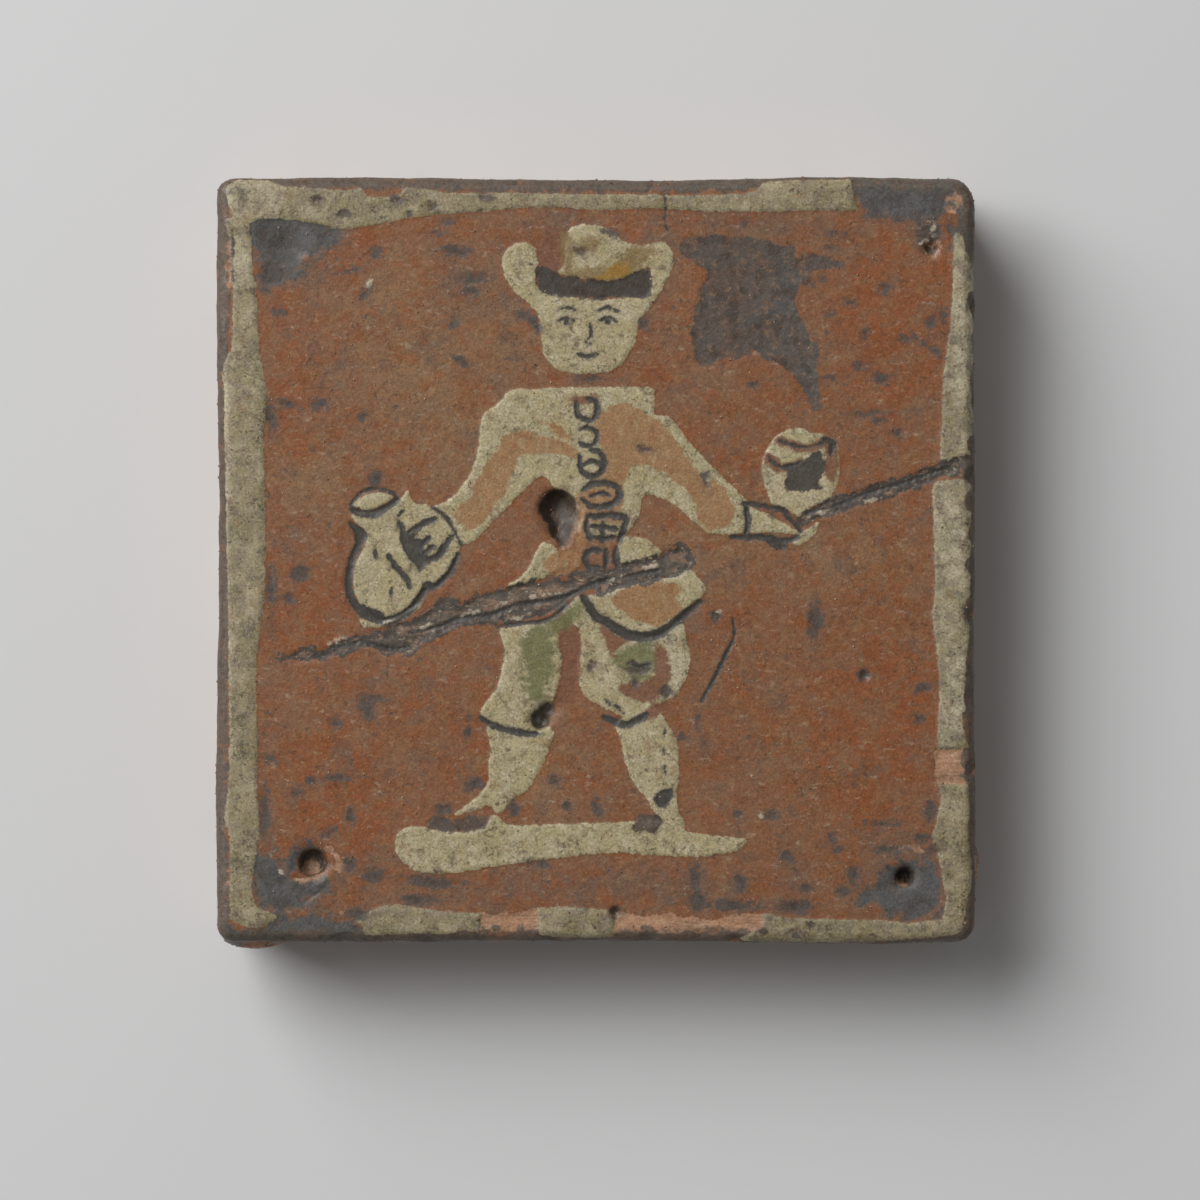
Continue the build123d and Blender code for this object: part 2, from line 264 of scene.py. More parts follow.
GREEN_LEFT = [
    (-12.4, -14.5), (-11.5, -12), (-9, -12), (-7.2, -14.5), (-7.5, -18), (-9, -21), (-10, -23.5),
    (-12, -23), (-12.6, -19), (-12.8, -16.5),
]
GREEN_LEFT_TOP = [
    (-12, -12), (-8, -10.8), (-4.5, -9.3), (-3, -7.2), (-1.2, -9.3), (-3.8, -10.8), (-5, -12.8), (-8, -13.4),
]
GREEN_RIGHT = [
    (3.5, -16), (5, -15), (7, -14.7), (10, -15), (10.9, -16), (10.5, -18), (10, -20), (8.5, -21), (6, -20.5),
    (4.8, -19), (3.8, -17.5),
]
HAT_SMOKE = [(-10.2, 51.8), (-10, 55), (-8.2, 57.4), (-6.4, 58), (-6.2, 54), (-6.4, 51.2), (-8, 51)]
HAT_STRIPE = [(-6.6, 57), (-5, 57.4), (-4.2, 54), (-4, 50), (-5.5, 50.3), (-6.2, 52)]
HAT_SLOPE = [
    (-4.6, 50), (-2, 51.5), (1.5, 52.2), (4.4, 53.4), (6.7, 54.8), (9.2, 55.4), (10, 54.2), (8.7, 52.2),
    (6, 50.2), (2, 49.2),
]
HAT_AMBER = [(-0.5, 49.6), (0.8, 50.4), (2.6, 52.3), (4.8, 52.5), (6.1, 51.7), (5.3, 50.3), (3, 49.5)]
UMBER_LEFT = [
    (-6.4, -13), (-3.2, -13.6), (-3, -18), (-3.3, -21), (-5, -23.5), (-7.4, -25.4), (-6.2, -21), (-5.9, -17),
]
UMBER_RIGHT = [(0.5, -10.6), (2.5, -12.6), (6, -14.3), (4, -15.3), (3, -17), (1.6, -14.5)]
UMBER_CRESCENT = [
    (10.5, -15), (12.3, -16), (12.9, -18.5), (12.9, -20.4), (12, -22.4), (10.5, -24), (8, -24.6), (5.3, -23.8),
    (4.4, -22.4), (7, -22.3), (9.2, -21.6), (10.6, -20), (11, -17.5),
]

# Manganese and iron: painted dark areas, and the staff and sash, which are gouged and flaking

STAIN = [
    (15, 56), (16.5, 57), (25, 57), (28, 56.5), (33, 55.5), (35, 55), (35.5, 53.5), (38, 54), (43, 53),
    (43, 51.5), (39, 51.5), (37, 50.5), (35.5, 47), (35, 45), (36, 43), (37, 40), (39, 38), (39.2, 35),
    (38.8, 33), (39.2, 30), (39.6, 27.5), (38.6, 26.3), (37.5, 28), (36.5, 30), (34.5, 32.5), (33, 34),
    (30, 35), (28, 36.5), (26, 35.5), (22, 35.3), (20, 34.5), (18.3, 34.6), (17, 38), (17, 42), (17.5, 45),
    (18.3, 48), (19.5, 50), (18.5, 51.5), (17, 53), (15.2, 53.8),
]
BEAKER_DRINK = [
    (33.2, 17), (33.2, 17), (33.6, 11.9), (33.6, 11.9), (39.5, 12.5), (39.5, 12.5), (40.2, 16), (39.8, 19.3),
    (39.8, 19.3), (37.6, 18.4), (36, 17.3),
]
SASH = [
    (-57.5, -17.4), (-52, -15.8), (-47, -15), (-44, -14), (-41, -12.8), (-38, -12.2), (-34, -11), (-31, -10),
    (-28, -8), (-26.5, -6), (-25, -7), (-23, -7.5), (-21, -6), (-18, -5.5), (-12, -3.8), (-9, -3.3),
    (-5, -3), (-3, -1.5), (3, -1.3), (8, 0), (11, 0.8), (13, 2.3), (15, 2.7), (16.6, 1.8), (17.1, 0),
    (16.3, -1.6), (14.5, -3), (10, -3.9), (7, -4.2), (4, -5), (2, -6), (-2, -5.5), (-4, -6.3), (-6, -8),
    (-9, -9.8), (-12, -10.7), (-15, -11), (-22, -11), (-25, -12), (-28, -13.3), (-31, -15), (-33, -16.3),
    (-36, -16.5), (-39, -15.7), (-41, -15.3), (-45, -16.3), (-48, -17.5), (-53, -18.2),
]
SHOE_LEFT = [
    (-30.2, -46.4), (-28, -45.2), (-25, -45.6), (-21, -44.8), (-19, -44.9), (-19.3, -46.7), (-21, -47.5),
    (-24, -48), (-27, -47.8), (-29, -47.3),
]
SHOE_RIGHT = [(6.8, -47.6), (7, -45.4), (8.5, -44.8), (10.5, -45), (12.2, -46), (11, -48), (9, -48.2)]
SHOE_BUCKLE = [(11, -41), (13, -40.3), (13.6, -41.5), (12.5, -43.6), (11, -43.6), (10.3, -42.4)]

HAND_SHADOW = [
    (-35, 7.4), (-33.9, 6.2), (-33.2, 4.4), (-31.4, 4.9), (-31.9, 3.9), (-30.8, 3.5), (-31.2, 2.3), (-30.2, 2),
    (-30.8, 1.2), (-29.7, 0.8), (-29.8, 0), (-30.8, -2), (-32.2, -0.6), (-33.8, 1.8), (-34.7, 5),
]
NECK_SHADOW = [(-43.1, 6.4), (-41.3, 5.8), (-40.3, 4.5), (-40.7, 3.4), (-42.1, 2.2), (-42.5, 3.8)]

# Each stroke is its width and the points that it passes

STAFF = (2.9, [
    (36.3, 7.3), (40, 8.8), (44, 10.2), (48, 11.4), (52, 12.8), (57, 14.3), (62, 16.1), (66.5, 18),
])
FIGURE_LINES = [
    # jug
    (1.35, [(-43.3, 6.5), (-41.2, 4.2), (-42, 2.5), (-42.9, 0.5), (-43.5, -2), (-43.7, -4.5), (-43, -7),
           (-41.5, -9), (-39.5, -10.2), (-37, -10.8), (-34.5, -10), (-32.3, -8.2), (-30.8, -6.3),
           (-29.7, -4.4), (-28.5, -4.6), (-26.5, -3), (-25, -0.8), (-24.4, 1)]),
    (0.6, [(-43.3, 9.5), (-41.8, 11.6), (-39.5, 12.5), (-37.3, 12.4), (-35.5, 11.6), (-34.9, 10.6)]),
    (1.35, [(-43, 8.9), (-40.6, 8), (-38.3, 8.5), (-36.5, 9.5), (-35, 10.6)]),
    # hand on the jug
    (1.15, [(-33.2, 4.8), (-31.5, 5.7), (-29.8, 6.7), (-28.3, 7.2)]),
    (1.15, [(-31.5, 1.8), (-30.4, 2.9), (-29.3, 3.9)]),
    (1.15, [(-30.8, 0.7), (-29.8, 1.6), (-28.6, 2.5)]),
    (1.35, [(-31.5, -0.3), (-29.5, 0), (-27.5, 1), (-26.3, 3), (-25.3, 4.3)]),
    (0.5, [(-34.9, 7.7), (-33.9, 8.8)]),
    (0.8, [(-39, 2), (-38.7, 0.4)]),
    (1.0, [(-36.7, 0.8), (-35, -1.5), (-33.2, -3.5), (-32.8, -5)]),
    (0.5, [(-36, -5), (-36.2, -6.4)]),
    (1.3, [(-41.2, -8.2), (-39.6, -9.3), (-37.8, -9.7)]),
    # cuffs
    (0.55, [(-28.9, 9.3), (-26.2, 7.2), (-23.7, 2.6)]),
    (0.9, [(25.6, 9.9), (27, 10), (30, 9.4), (33, 8.8), (34, 7.5), (35.3, 6.3), (36.2, 5)]),
    (1.0, [(26.3, 9.6), (26.9, 7), (26.5, 4.8)]),
    (1.1, [(23.8, 4), (27, 4), (30, 4), (33, 3.4), (35.7, 4)]),
    (1.4, [(30.5, 3.4), (33.2, 2.2)]),
    # beaker
    (1.0, [(40, 21.3), (41.7, 20.8), (41.4, 18.6)]),
    (0.5, [(32.4, 21.1), (34.6, 20.3), (37.3, 19.9), (39.8, 20.6)]),
    (0.55, [(30.4, 18.2), (32.2, 16.6), (34.4, 16.6), (36, 17.3)]),
    # buttons
    (0.95, [(-3.4, 28), (-3.3, 25.8), (-2, 24.8), (-0.4, 25), (0.2, 26.5), (-0.1, 28), (-1.6, 28.5)]),
    (0.95, [(-2.9, 23), (-1.2, 23.4), (0.1, 22.4), (-0.1, 20.7), (-1.5, 20.1), (-3, 20.8)]),
    (1.15, [(-2.9, 18.4), (-2.6, 16), (-1, 14.7), (0.9, 15.4), (1.5, 17.3), (0.6, 19), (-1, 19.4)]),
    (0.85, [(-2.6, 16.4), (-0.8, 17.4), (0.9, 16.6)]),
    (1.2, [(-2.5, 12.2), (-0.8, 13.4), (1.6, 13.6), (3.8, 12.8), (4, 10.9), (2, 9.5), (-0.6, 9.5),
           (-2.4, 10.6)]),
    (0.8, [(-1, 11.2), (1, 11.8), (2.6, 11.2)]),
    (1.25, [(-1.6, 7.8), (0.4, 7.6), (2.8, 7.9), (5.2, 7.3), (4.7, 5), (4, 3)]),
    (1.05, [(-1.5, 7.6), (-1.7, 5.4), (-0.9, 3.6)]),
    (1.0, [(-0.8, 5.9), (1.4, 5.8), (3.9, 5.4)]),
    (0.9, [(-0.4, 4.1), (1.4, 3.8), (3.3, 4.1)]),
    (0.85, [(1.2, 6.8), (1.3, 3.2)]),
    (1.15, [(0.9, 1.5), (-0.8, 1.7), (-1.9, 0.4), (-1.2, -1.1), (0.6, -1.3)]),
    (1.0, [(1.7, 1.8), (1.9, 0), (1.6, -1.6)]),
    (1.1, [(3.7, 2.2), (3.5, 0.4), (3.8, -1.2)]),
    # purse
    (1.75, [(-2.4, -6.4), (-1.3, -8), (0, -9.8), (2, -11), (4, -12.3), (6.5, -13.3), (9, -13.5), (11.5, -12.8),
           (14, -11), (16, -9.3), (18.3, -7.4)]),
    # knee bands
    (1.2, [(-20.3, -27.8), (-18, -29.2), (-15.5, -30), (-12.5, -30.6), (-10.2, -30.6)]),
    (1.3, [(1.3, -27.7), (3.5, -28.5), (5.5, -28.9), (7.5, -28.2), (9, -27.2)]),
    # nicks in the right breech
    (0.5, [(1.6, -24.4), (2.4, -25.6)]),
    (0.5, [(3.5, -25.6), (4.8, -27)]),
    (0.6, [(5.5, -18.4), (6.5, -18), (7.5, -18.8), (9.5, -18.3)]),
    # fine cracks across the border
    (0.3, [(12, 64.4), (12.3, 62), (12.1, 60), (12.7, 58)]),
    (0.35, [(-64, 58), (-64.1, 53.5), (-64, 49.2)]),
    # specks down the stocking
    (0.4, [(12.2, -29.6), (12, -31.2)]),
    (0.35, [(11.8, -33), (12, -34.2)]),
    (0.4, [(12, -36.4), (12.3, -38)]),
]
# Eyes at half of the head's height, five eye widths across it, nose and mouth at even thirds below
FACE_LINES = [
    (0.55, [(-6.6, 42), (-5.2, 42.7), (-3.7, 42.1)]),
    (0.55, [(0.7, 42.1), (2.2, 42.7), (3.6, 42)]),
    (0.45, [(-6.9, 43.9), (-5.2, 44.5), (-3.5, 44)]),
    (0.45, [(0.5, 44), (2.2, 44.5), (3.9, 43.9)]),
    (0.5, [(-1.1, 41.8), (-0.8, 39.6), (-1.9, 38.5), (-0.7, 38.2)]),
    (0.6, [(-3.2, 36.3), (-1.5, 35.9), (0.3, 36.3)]),
]
EYE_DOTS = [(-5.2, 41.9, 1.1, 1.1, 0), (2.2, 41.9, 1.1, 1.1, 0)]
BEAKER_BANDS = [
    (1.3, [(32.3, 21.2), (34.6, 20.3), (37.3, 19.8), (40, 20.6)]),
    (1.3, [(30, 18.4), (32.2, 16.4), (34.4, 16.5), (36.4, 17.6)]),
    (1.8, [(40.8, 21.6), (41.6, 18.4), (41.2, 14.4)]),
]
SASH_GROOVES = [
    (0.9, [(-33, -12.8), (-28, -11.8), (-24, -10.3), (-19, -9.8), (-14, -8), (-9, -7.2), (-5, -6.3), (0, -4),
           (6, -2.7), (11, -1.8)]),
    (0.8, [(-40.5, -14.6), (-36, -15.7), (-33, -15.3)]),
    (0.7, [(-17.5, -11.9), (-14, -11.2), (-10, -10.9), (-7, -9.6), (-4, -7)]),
    (0.5, [(-47, -15.6), (-44, -15), (-41.5, -14.2)]),
    (0.7, [(37, 8.2), (43, 9.8), (48, 11.8), (55, 13.9), (63, 16.7)]),
]
SCRATCH = (0.75, [(24.1, -10.4), (24.4, -13.4), (23.2, -16.2), (22, -18.7), (20.7, -21.3), (18.6, -24.8)])

# Dark glaze pools at the corners, and painted shade on the bottom-left lip and in two nail pricks

POOL_TOP_LEFT = [
    (-63.3, 59.3), (-60.5, 61), (-55, 61.2), (-51, 60), (-47, 58.8), (-46, 57.6), (-48.5, 54.4), (-51.5, 53.4),
    (-52.5, 51), (-54.5, 49.6), (-57, 48.5), (-58.6, 49), (-58.5, 52.5), (-61, 55.5), (-62.8, 57),
]
CORNER_TOP_RIGHT = [
    (45.4, 66.8), (46.6, 67.6), (60, 67.8), (62.3, 66), (61.5, 62), (59, 60.3), (55, 60.3), (52, 61),
    (46.5, 61.6),
]
EDGE_TOP_RIGHT = [(63.6, 61), (62.8, 58.5), (63, 56.5), (65.5, 56), (67.2, 57), (67, 60.5), (65.3, 61.6)]
POOL_BOTTOM_LEFT = [
    (-59.8, -52), (-57.5, -51.5), (-56, -54), (-54.5, -55.8), (-52, -57), (-48, -57.5), (-47.4, -58.3),
    (-50, -60), (-53, -61.5), (-55, -62.5), (-57, -62), (-59, -61), (-60, -59), (-60.3, -56),
]
POOL_BOTTOM_RIGHT = [
    (49, -57.3), (52, -57.2), (54, -54.2), (57, -53), (60.2, -54), (60.8, -57.5), (60.8, -61), (58, -63),
    (54, -62.6), (50, -60.8), (47, -60.5), (46.8, -58.6),
]
FOOT_BOTTOM_LEFT = [
    (-56, -63.6), (-52, -62.9), (-47, -63), (-43, -64), (-41.5, -65.6), (-44, -66.8), (-52, -67.2),
    (-57, -67.5), (-60, -66.5),
]
# Painted shade: the rim over the bulging lip at the bottom left, which faces away from the light
LIP_SHADE_BOTTOM_LEFT = [(-65.8, -65.5), (-62, -66.2), (-58, -66.4), (-55.2, -67.2), (-56, -69.4), (-65, -69.4)]
# Painted shade: crescents on the upper-left walls of two nail pricks, which face away from the light
NAIL_WALL_SHADE = [
    (1.6, [(-53.2, -54.6), (-53, -52.4), (-51.6, -50.9), (-49.6, -51)]),
    (2.0, [(51.6, -56.6), (51.8, -55.2), (53.4, -54.2), (55.4, -54.3)]),
]

# Bare clay where the slip and glaze are gone

BARE = [
    [(-20.2, -62.5), (-15, -62.3), (-10.6, -61.8), (-10.4, -66.4), (-15, -66.8), (-20.5, -66)],
    [(3.6, -62.3), (9, -62.5), (15, -62.7), (20, -63.2), (25, -62.3), (29.3, -62.3), (29.2, -64.6),
     (25.5, -66.3), (23, -67), (12, -67), (3.6, -66.8)],
    [(60.2, -33.7), (65.6, -33.5), (65.6, -39.5), (60.4, -39.3)],
    [(61, 62.5), (62, 61.2), (64.5, 60.8), (66, 62.3), (65.6, 64.8), (64, 66.3), (61.6, 64.4)],
    [(-66.2, 57), (-65.4, 57.8), (-64.4, 56), (-64.3, 50), (-65, 47.8), (-66.1, 49)],
    [(-66.7, 45.5), (-65, 45), (-64.6, 43.4), (-66.2, 42.6)],
    [(-66.6, 35), (-65.9, 33.6), (-65.9, 31.4), (-66.8, 31)],
    [(-66.6, 27), (-65.7, 26.6), (-65.7, 24.6), (-66.6, 24)],
    [(-66, -41), (-65.2, -42.5), (-65.2, -46.5), (-66.2, -47)],
    [(-66, -54), (-64.9, -55), (-64.8, -57.5), (-66, -58.2)],
]
BARE_RIDGES = [
    (1.6, [(-53.4, -56.2), (-50.5, -56.8), (-48.2, -55.8)]),
    (1.2, [(-47.6, -50.8), (-45.8, -52.4), (-45.2, -54.8)]),
    (0.8, [(-47.8, -57.7), (-50.5, -59.8), (-52.2, -61.1)]),
    (1.2, [(52.2, -51), (55, -50.6), (57.5, -51.2)]),
]

# Painted shade: the steep walls of the burst hollows and the nail pricks that face away from the light, darkened
# near black

PIT_WALL_SHADE_AREAS = [
    [(-10.4, 12.6), (-8.6, 13.2), (-6.4, 12.9), (-5, 12.2), (-6.6, 11.2), (-7.4, 9), (-7.4, 6.4), (-6.6, 4),
     (-6, 1.6), (-6.4, 0.6), (-7.6, 2.6), (-9.4, 5.6), (-10.4, 9)],
    [(-9.2, -24.6), (-7.6, -25.4), (-8.4, -27), (-9.6, -28.6), (-11, -30.4), (-12.4, -31), (-12, -28.6),
     (-10.8, -26.2)],
    [(51, -57.8), (51.1, -56.2), (52.4, -55.2), (54.2, -55.2), (52.9, -56.1), (52.1, -57.2)],
]

# Blemishes where the glaze is blue-grey and sunk: x, y, width, height, turn in degrees

BLEMISHES = [
    (-39, 54.3, 2, 2, 0), (-25, 54.5, 4.5, 1.8, -5), (-22, 49.6, 4.6, 1.8, 5), (-22, 47.4, 2.4, 1.2, 0),
    (-28, 57.5, 2, 1, 0), (-26, 59.8, 2, 1.2, 0), (-25, 42, 1.3, 2, -20), (-23.5, 35, 2.8, 1.2, -30),
    (-43.5, 51, 3, 0.8, 10), (-40.8, 47, 1.6, 2.8, -25), (-56, 43.8, 2.4, 1.3, -10), (-54, 27.4, 3, 1.2, -15),
    (-48.7, 27.5, 2.8, 2, 0), (-41, 25.3, 1.6, 1.6, 0), (-57.3, 25, 1.6, 5, 8), (-52, -2.5, 3.5, 2.8, 10),
    (-54, -6.8, 2, 1.6, 0), (-57.3, -5, 1.4, 5.5, 0), (-46, -28.7, 2, 1.8, 0), (-22.5, -30.5, 1.2, 1.8, 0),
    (-57.5, -35, 3, 1.3, -15), (-50.2, -39, 1.8, 1.5, 0), (-45, -38.5, 5, 0.9, 5), (-53, -41.3, 2, 1.3, 0),
    (-58.4, -44.5, 1.6, 8, 2), (-43.2, -45.2, 1.5, 2.5, 0), (-47.2, -48, 2.6, 1.5, 15), (-43.5, -53.5, 2, 3, 0),
    (-39, -55.7, 4.2, 2.4, -10), (-29, -56.8, 10, 2.2, -3), (-42, -62.5, 4, 2.4, 0), (-31, -60, 6, 1.8, 0),
    (-21.5, -39.5, 3, 2, 20), (-27, -44, 2.4, 1.8, 0), (-14.5, -44, 2, 3, 0), (-7.2, -39, 2.6, 1.9, -20),
    (-5, -43.3, 1.6, 1.4, 0), (0.2, -43.5, 1.4, 2.8, 10), (-10.2, -53.6, 3.6, 1.4, -5), (17.5, -56, 2, 4, 0),
    (25.5, -57, 2, 3, 10), (18, -60.3, 3, 3.6, 0), (24, -61, 8, 1.9, 0), (35, -61.2, 6, 2.2, 0),
    (37, -58, 2, 1.6, 0), (45.5, -55.5, 2, 3, 0), (43.5, -58.5, 2.4, 2, 0), (41.5, -49.3, 1.2, 2, 0),
    (42.5, -51, 1.6, 1.2, 0), (34, -52.5, 2.5, 2, 0), (52.3, -51, 5.5, 1.2, 0), (57.7, -49.3, 2.6, 1.8, -15),
    (59.5, -51.3, 2.6, 1.3, 0), (59, -44.5, 1.8, 4, 0), (58, -22.5, 3, 1.5, 10), (57, -28, 1.6, 1.6, 0),
    (18, -28.7, 0.8, 1.7, 0), (15.5, -31.3, 1.4, 1, 0), (31, -45, 2.3, 1.5, 0), (25, -45, 1.6, 1.4, 0),
    (50.7, -46.5, 4.5, 1, 0), (37.5, 49, 1.6, 1.2, 0), (40, 49.5, 1.4, 1.4, 0), (45, 45.5, 1.8, 1.2, 0),
    (41.5, 43.5, 1.6, 1.2, 0), (47.5, 39.5, 1.2, 2, 0), (51, 48, 2.2, 1.6, 20), (59, 42, 2, 2, 0),
    (61.5, 43, 1.2, 2, 0), (54.5, 39, 1.6, 1.2, 0), (46.5, 34.3, 2, 1.3, 0), (50.5, 32, 2.6, 1.9, -15),
    (48, 25.8, 5, 1, 5), (50, 24.5, 1.8, 1, 0), (53, 22.5, 1.8, 1.2, 0), (28, 31, 1.9, 1.1, 0),
    (26.3, 59.6, 1.6, 1.5, 0), (41.5, 55, 1.5, 1.3, 0), (59, 37.5, 4.4, 0.9, -35), (41.3, 32, 2.6, 0.6, 0),
    (42.5, 57.5, 2.6, 0.6, 0), (-44.5, 61, 2, 1.4, 0), (-49, 63.5, 1.8, 1.2, 0), (-35, 63.5, 2, 1.2, 0),
    (-28.7, 62.5, 1.8, 1.6, 0), (-33, 61, 1.2, 1.2, 0), (-20, 64, 2.4, 1, 0), (29.5, -65.5, 1.8, 1.2, 0),
    (35, -65.8, 2, 1.4, 0), (38, -64.6, 1.6, 1.1, 0), (-10.8, 41.6, 2.8, 1.8, -45), (8.5, 41.8, 1.8, 2.4, 0),
    (-38.8, 14.4, 2.7, 2.9, 0), (38.8, -10.8, 2.7, 6.6, 0), (7.2, -19.5, 4.2, 1.3, 0), (-57, 50.6, 4.6, 4.2, 0),
    (-1, 31.9, 4.6, 1.1, 0), (21.1, -10, 1.9, 1.9, 0), (-13, 43.2, 2.4, 1.6, 0),
    (19.3, 14.8, 1.4, 1.4, 0), (19.4, 13.2, 0.7, 1.8, 0), (8.5, 19.5, 2.4, 0.9, -20), (-0.6, -18.5, 1.6, 1.6, 0),
    (7, -21.8, 1.2, 1.2, 0), (12.5, -23.3, 2.2, 2.2, 0), (2.7, 57.5, 2.4, 1, -20), (-2.3, 54.5, 2.4, 1, -10),
    (-3.1, 54.3, 1, 1, 0), (-40.6, -26, 2.6, 4.4, 20), (-39, -24.4, 3.2, 1.2, 0), (47.4, -20.3, 2.2, 2, 0),
    (3.4, -62, 2, 2, 0), (58.7, 57.6, 4.8, 4.2, 0),
]

# Flecks that stand out pale: scuffs at the nail pricks, and slip and clay showing in the sash, staff and hollows

PALE_FLECKS = [
    (-53.5, 41.5, 2, 0.8, 0), (-36, 37.7, 1, 1, 0), (-47.5, 41.7, 5, 0.4, 0), (29, -45, 1.2, 0.8, 0),
    (-40.2, 48.6, 0.7, 2.2, -25), (21.8, -9.2, 0.9, 0.6, 0), (-6.3, 4.5, 1.2, 0.7, 20),
    (-46.5, -14.9, 2.8, 0.5, 12),
    (-36, -10.8, 3, 0.5, 15), (-14, -10.2, 2, 0.5, 5), (39.5, 8.3, 3, 0.7, 18), (48.5, 10.6, 2.4, 0.7, 18),
    (58.2, 56.2, 0.8, 0.6, 0), (60, 54.3, 0.6, 0.9, 0), (-45, -13.9, 2, 0.4, 14), (-5.9, 3.4, 0.8, 2.4, 10),
    (-3.4, 9.6, 0.5, 2.2, 5), (59.5, 57.2, 1.4, 0.7, 20), (57.8, 56.2, 1.1, 0.5, 40), (58.4, 59.5, 1.2, 0.5, 15),
    (59.5, 58.4, 0.5, 1.3, -25), (57.2, 58.3, 0.8, 0.5, -30), (-30, -11.6, 2.4, 0.5, 20),
    (-22, -9.2, 2.6, 0.6, 15), (-16.5, -7.6, 2, 0.5, 18), (-11, -6.4, 1.8, 0.5, 10), (4, -3, 2.4, 0.5, 20),
    (9.5, -1.2, 2.2, 0.6, 15), (13.4, 0.2, 1.4, 0.6, 0), (-26.5, -8.6, 1.4, 0.5, 30),
    (60.7, 55.7, 0.6, 1.0, 30), (57.4, 54.5, 1.0, 0.4, -20), (59.4, 53.9, 1.2, 0.5, 10),
    (-55.6, -55.4, 0.6, 1.6, 10),
]

# Coats: the areas, strokes and spots that each is made of, and the holes and bites out of it

COATS = {
    "border": {
        "areas": [BORDER_TOP, BORDER_LEFT, BORDER_RIGHT_UPPER, BORDER_RIGHT_LOWER, BORDER_RIGHT_FOOT,
                  BORDER_BOTTOM_LEFT, BORDER_BOTTOM_MIDDLE, BORDER_BOTTOM_RIGHT],
        "bites": BORDER_BITES,
    },
    "figure": {
        "areas": [HAT, HEAD, JACKET, FLAP_LEFT, FLAP_RIGHT, PURSE, BREECH_LEFT, BREECH_RIGHT, STOCKING_LEFT,
                  STOCKING_RIGHT, GROUND, JUG, JUG_MOUTH, JUG_FOOT, HAND_RIGHT, HAND_SLIVER, BEAKER],
        "holes": [HAT_HOLLOW],
    },
    "wash": {
        "areas": [SLEEVE_WASH_LEFT, SLEEVE_STREAK, SLEEVE_WASH_RIGHT, POCKET_FLESH, PURSE_WASH, POCKET_APRON],
    },
    "green": {"areas": [GREEN_LEFT, GREEN_LEFT_TOP, GREEN_RIGHT]},
    "ochre": {"areas": [HAT_STRIPE, HAT_SLOPE], "spots": [(-1.4, 55.6, 3.6, 3.2, 0)]},
    "amber": {"areas": [HAT_AMBER]},
    "umber": {
        "areas": [HAT_SMOKE, UMBER_LEFT, UMBER_RIGHT, UMBER_CRESCENT],
        "strokes": BEAKER_BANDS,
        "spots": [(-2, 28.3, 2.6, 1.2, 0), (10.2, -26.7, 3, 1.4, 35), (-5, -23, 1.6, 3, 0)],
    },
    "manganese": {"areas": [STAIN, HAT_HOLLOW, BEAKER_DRINK, SHOE_LEFT, SHOE_RIGHT]},
    "thick": {"areas": [HAT_HOLLOW, BEAKER_DRINK]},
    "flaked": {"areas": [SASH], "strokes": [STAFF]},
    "line": {
        "areas": [SHOE_BUCKLE, HAND_SHADOW, NECK_SHADOW],
        "strokes": FIGURE_LINES + FACE_LINES + SASH_GROOVES + [SCRATCH],
        "spots": EYE_DOTS,
    },
    # Real glaze pools, with painted shade on the bottom-left lip and in two nail pricks
    "pool": {
        "areas": [POOL_TOP_LEFT, CORNER_TOP_RIGHT, EDGE_TOP_RIGHT, POOL_BOTTOM_LEFT, POOL_BOTTOM_RIGHT,
                  FOOT_BOTTOM_LEFT, LIP_SHADE_BOTTOM_LEFT],
        "strokes": NAIL_WALL_SHADE,
    },
    "blemish": {"spots": BLEMISHES},
    "bare": {
        "areas": BARE,
        "strokes": BARE_RIDGES,
        "spots": [(-50.2, -54.4, 3, 2.8, 0), (53.4, -57.1, 2.4, 1.8, 0), (59, 56.4, 2.6, 2.4, 0)],
    },
    "fleck": {"spots": PALE_FLECKS},
    # Painted shade on the steep pit walls that face away from the light
    "scorch": {"areas": PIT_WALL_SHADE_AREAS},
}

# Coats whose edges the face's mesh follows closely

EDGED = ("border", "figure", "manganese", "flaked", "line", "pool", "blemish", "bare", "wash")

# Soft zones of tone in the clay, the slip and the stain: x, y, half width, half height

ZONES = {
    "vivid": [(-54, 30, 5, 22), (50, 40, 14, 16), (-48, -40, 14, 16), (48, -30, 14, 26), (-52, -10, 8, 14),
              (-38, 57, 10, 4), (16, 60, 4, 3), (30, 20, 14, 10), (-20, -38, 10, 8)],
    "olive": [(-31, 34, 12, 14), (-24, 22, 10, 10), (-36, 46, 8, 6), (20, 2, 14, 6), (-10, -38, 8, 8),
              (-18, 40, 6, 10), (44, 0, 10, 6), (-50, 14, 8, 6)],
    "smoky": [(-52, 55, 8, 7), (56, 62, 8, 4), (-52, -57, 9, 7), (54, -57, 9, 6), (26, 59, 12, 2.5),
              (-22, 48, 6, 5), (4, -58, 30, 3.5), (-7, 58, 3, 7), (11.5, 58, 2.5, 6)],
    # chalky: pale worn slip, with painted highlight in thin strips along the left edge and the top-left corner,
    # which face the light
    "chalky": [(-63, 64, 7, 3), (-65.6, 24, 1.1, 26), (-65.4, -22, 1.1, 26), (-62.5, 53, 2.5, 5),
               (13, -18, 3, 5), (65.5, 38, 3, 18), (63.5, 3, 4, 12), (64, -24, 4, 10), (14, 64.8, 5, 1)],
    "dusk": [(35, 46, 5, 9), (38, 33, 3, 8)],
}


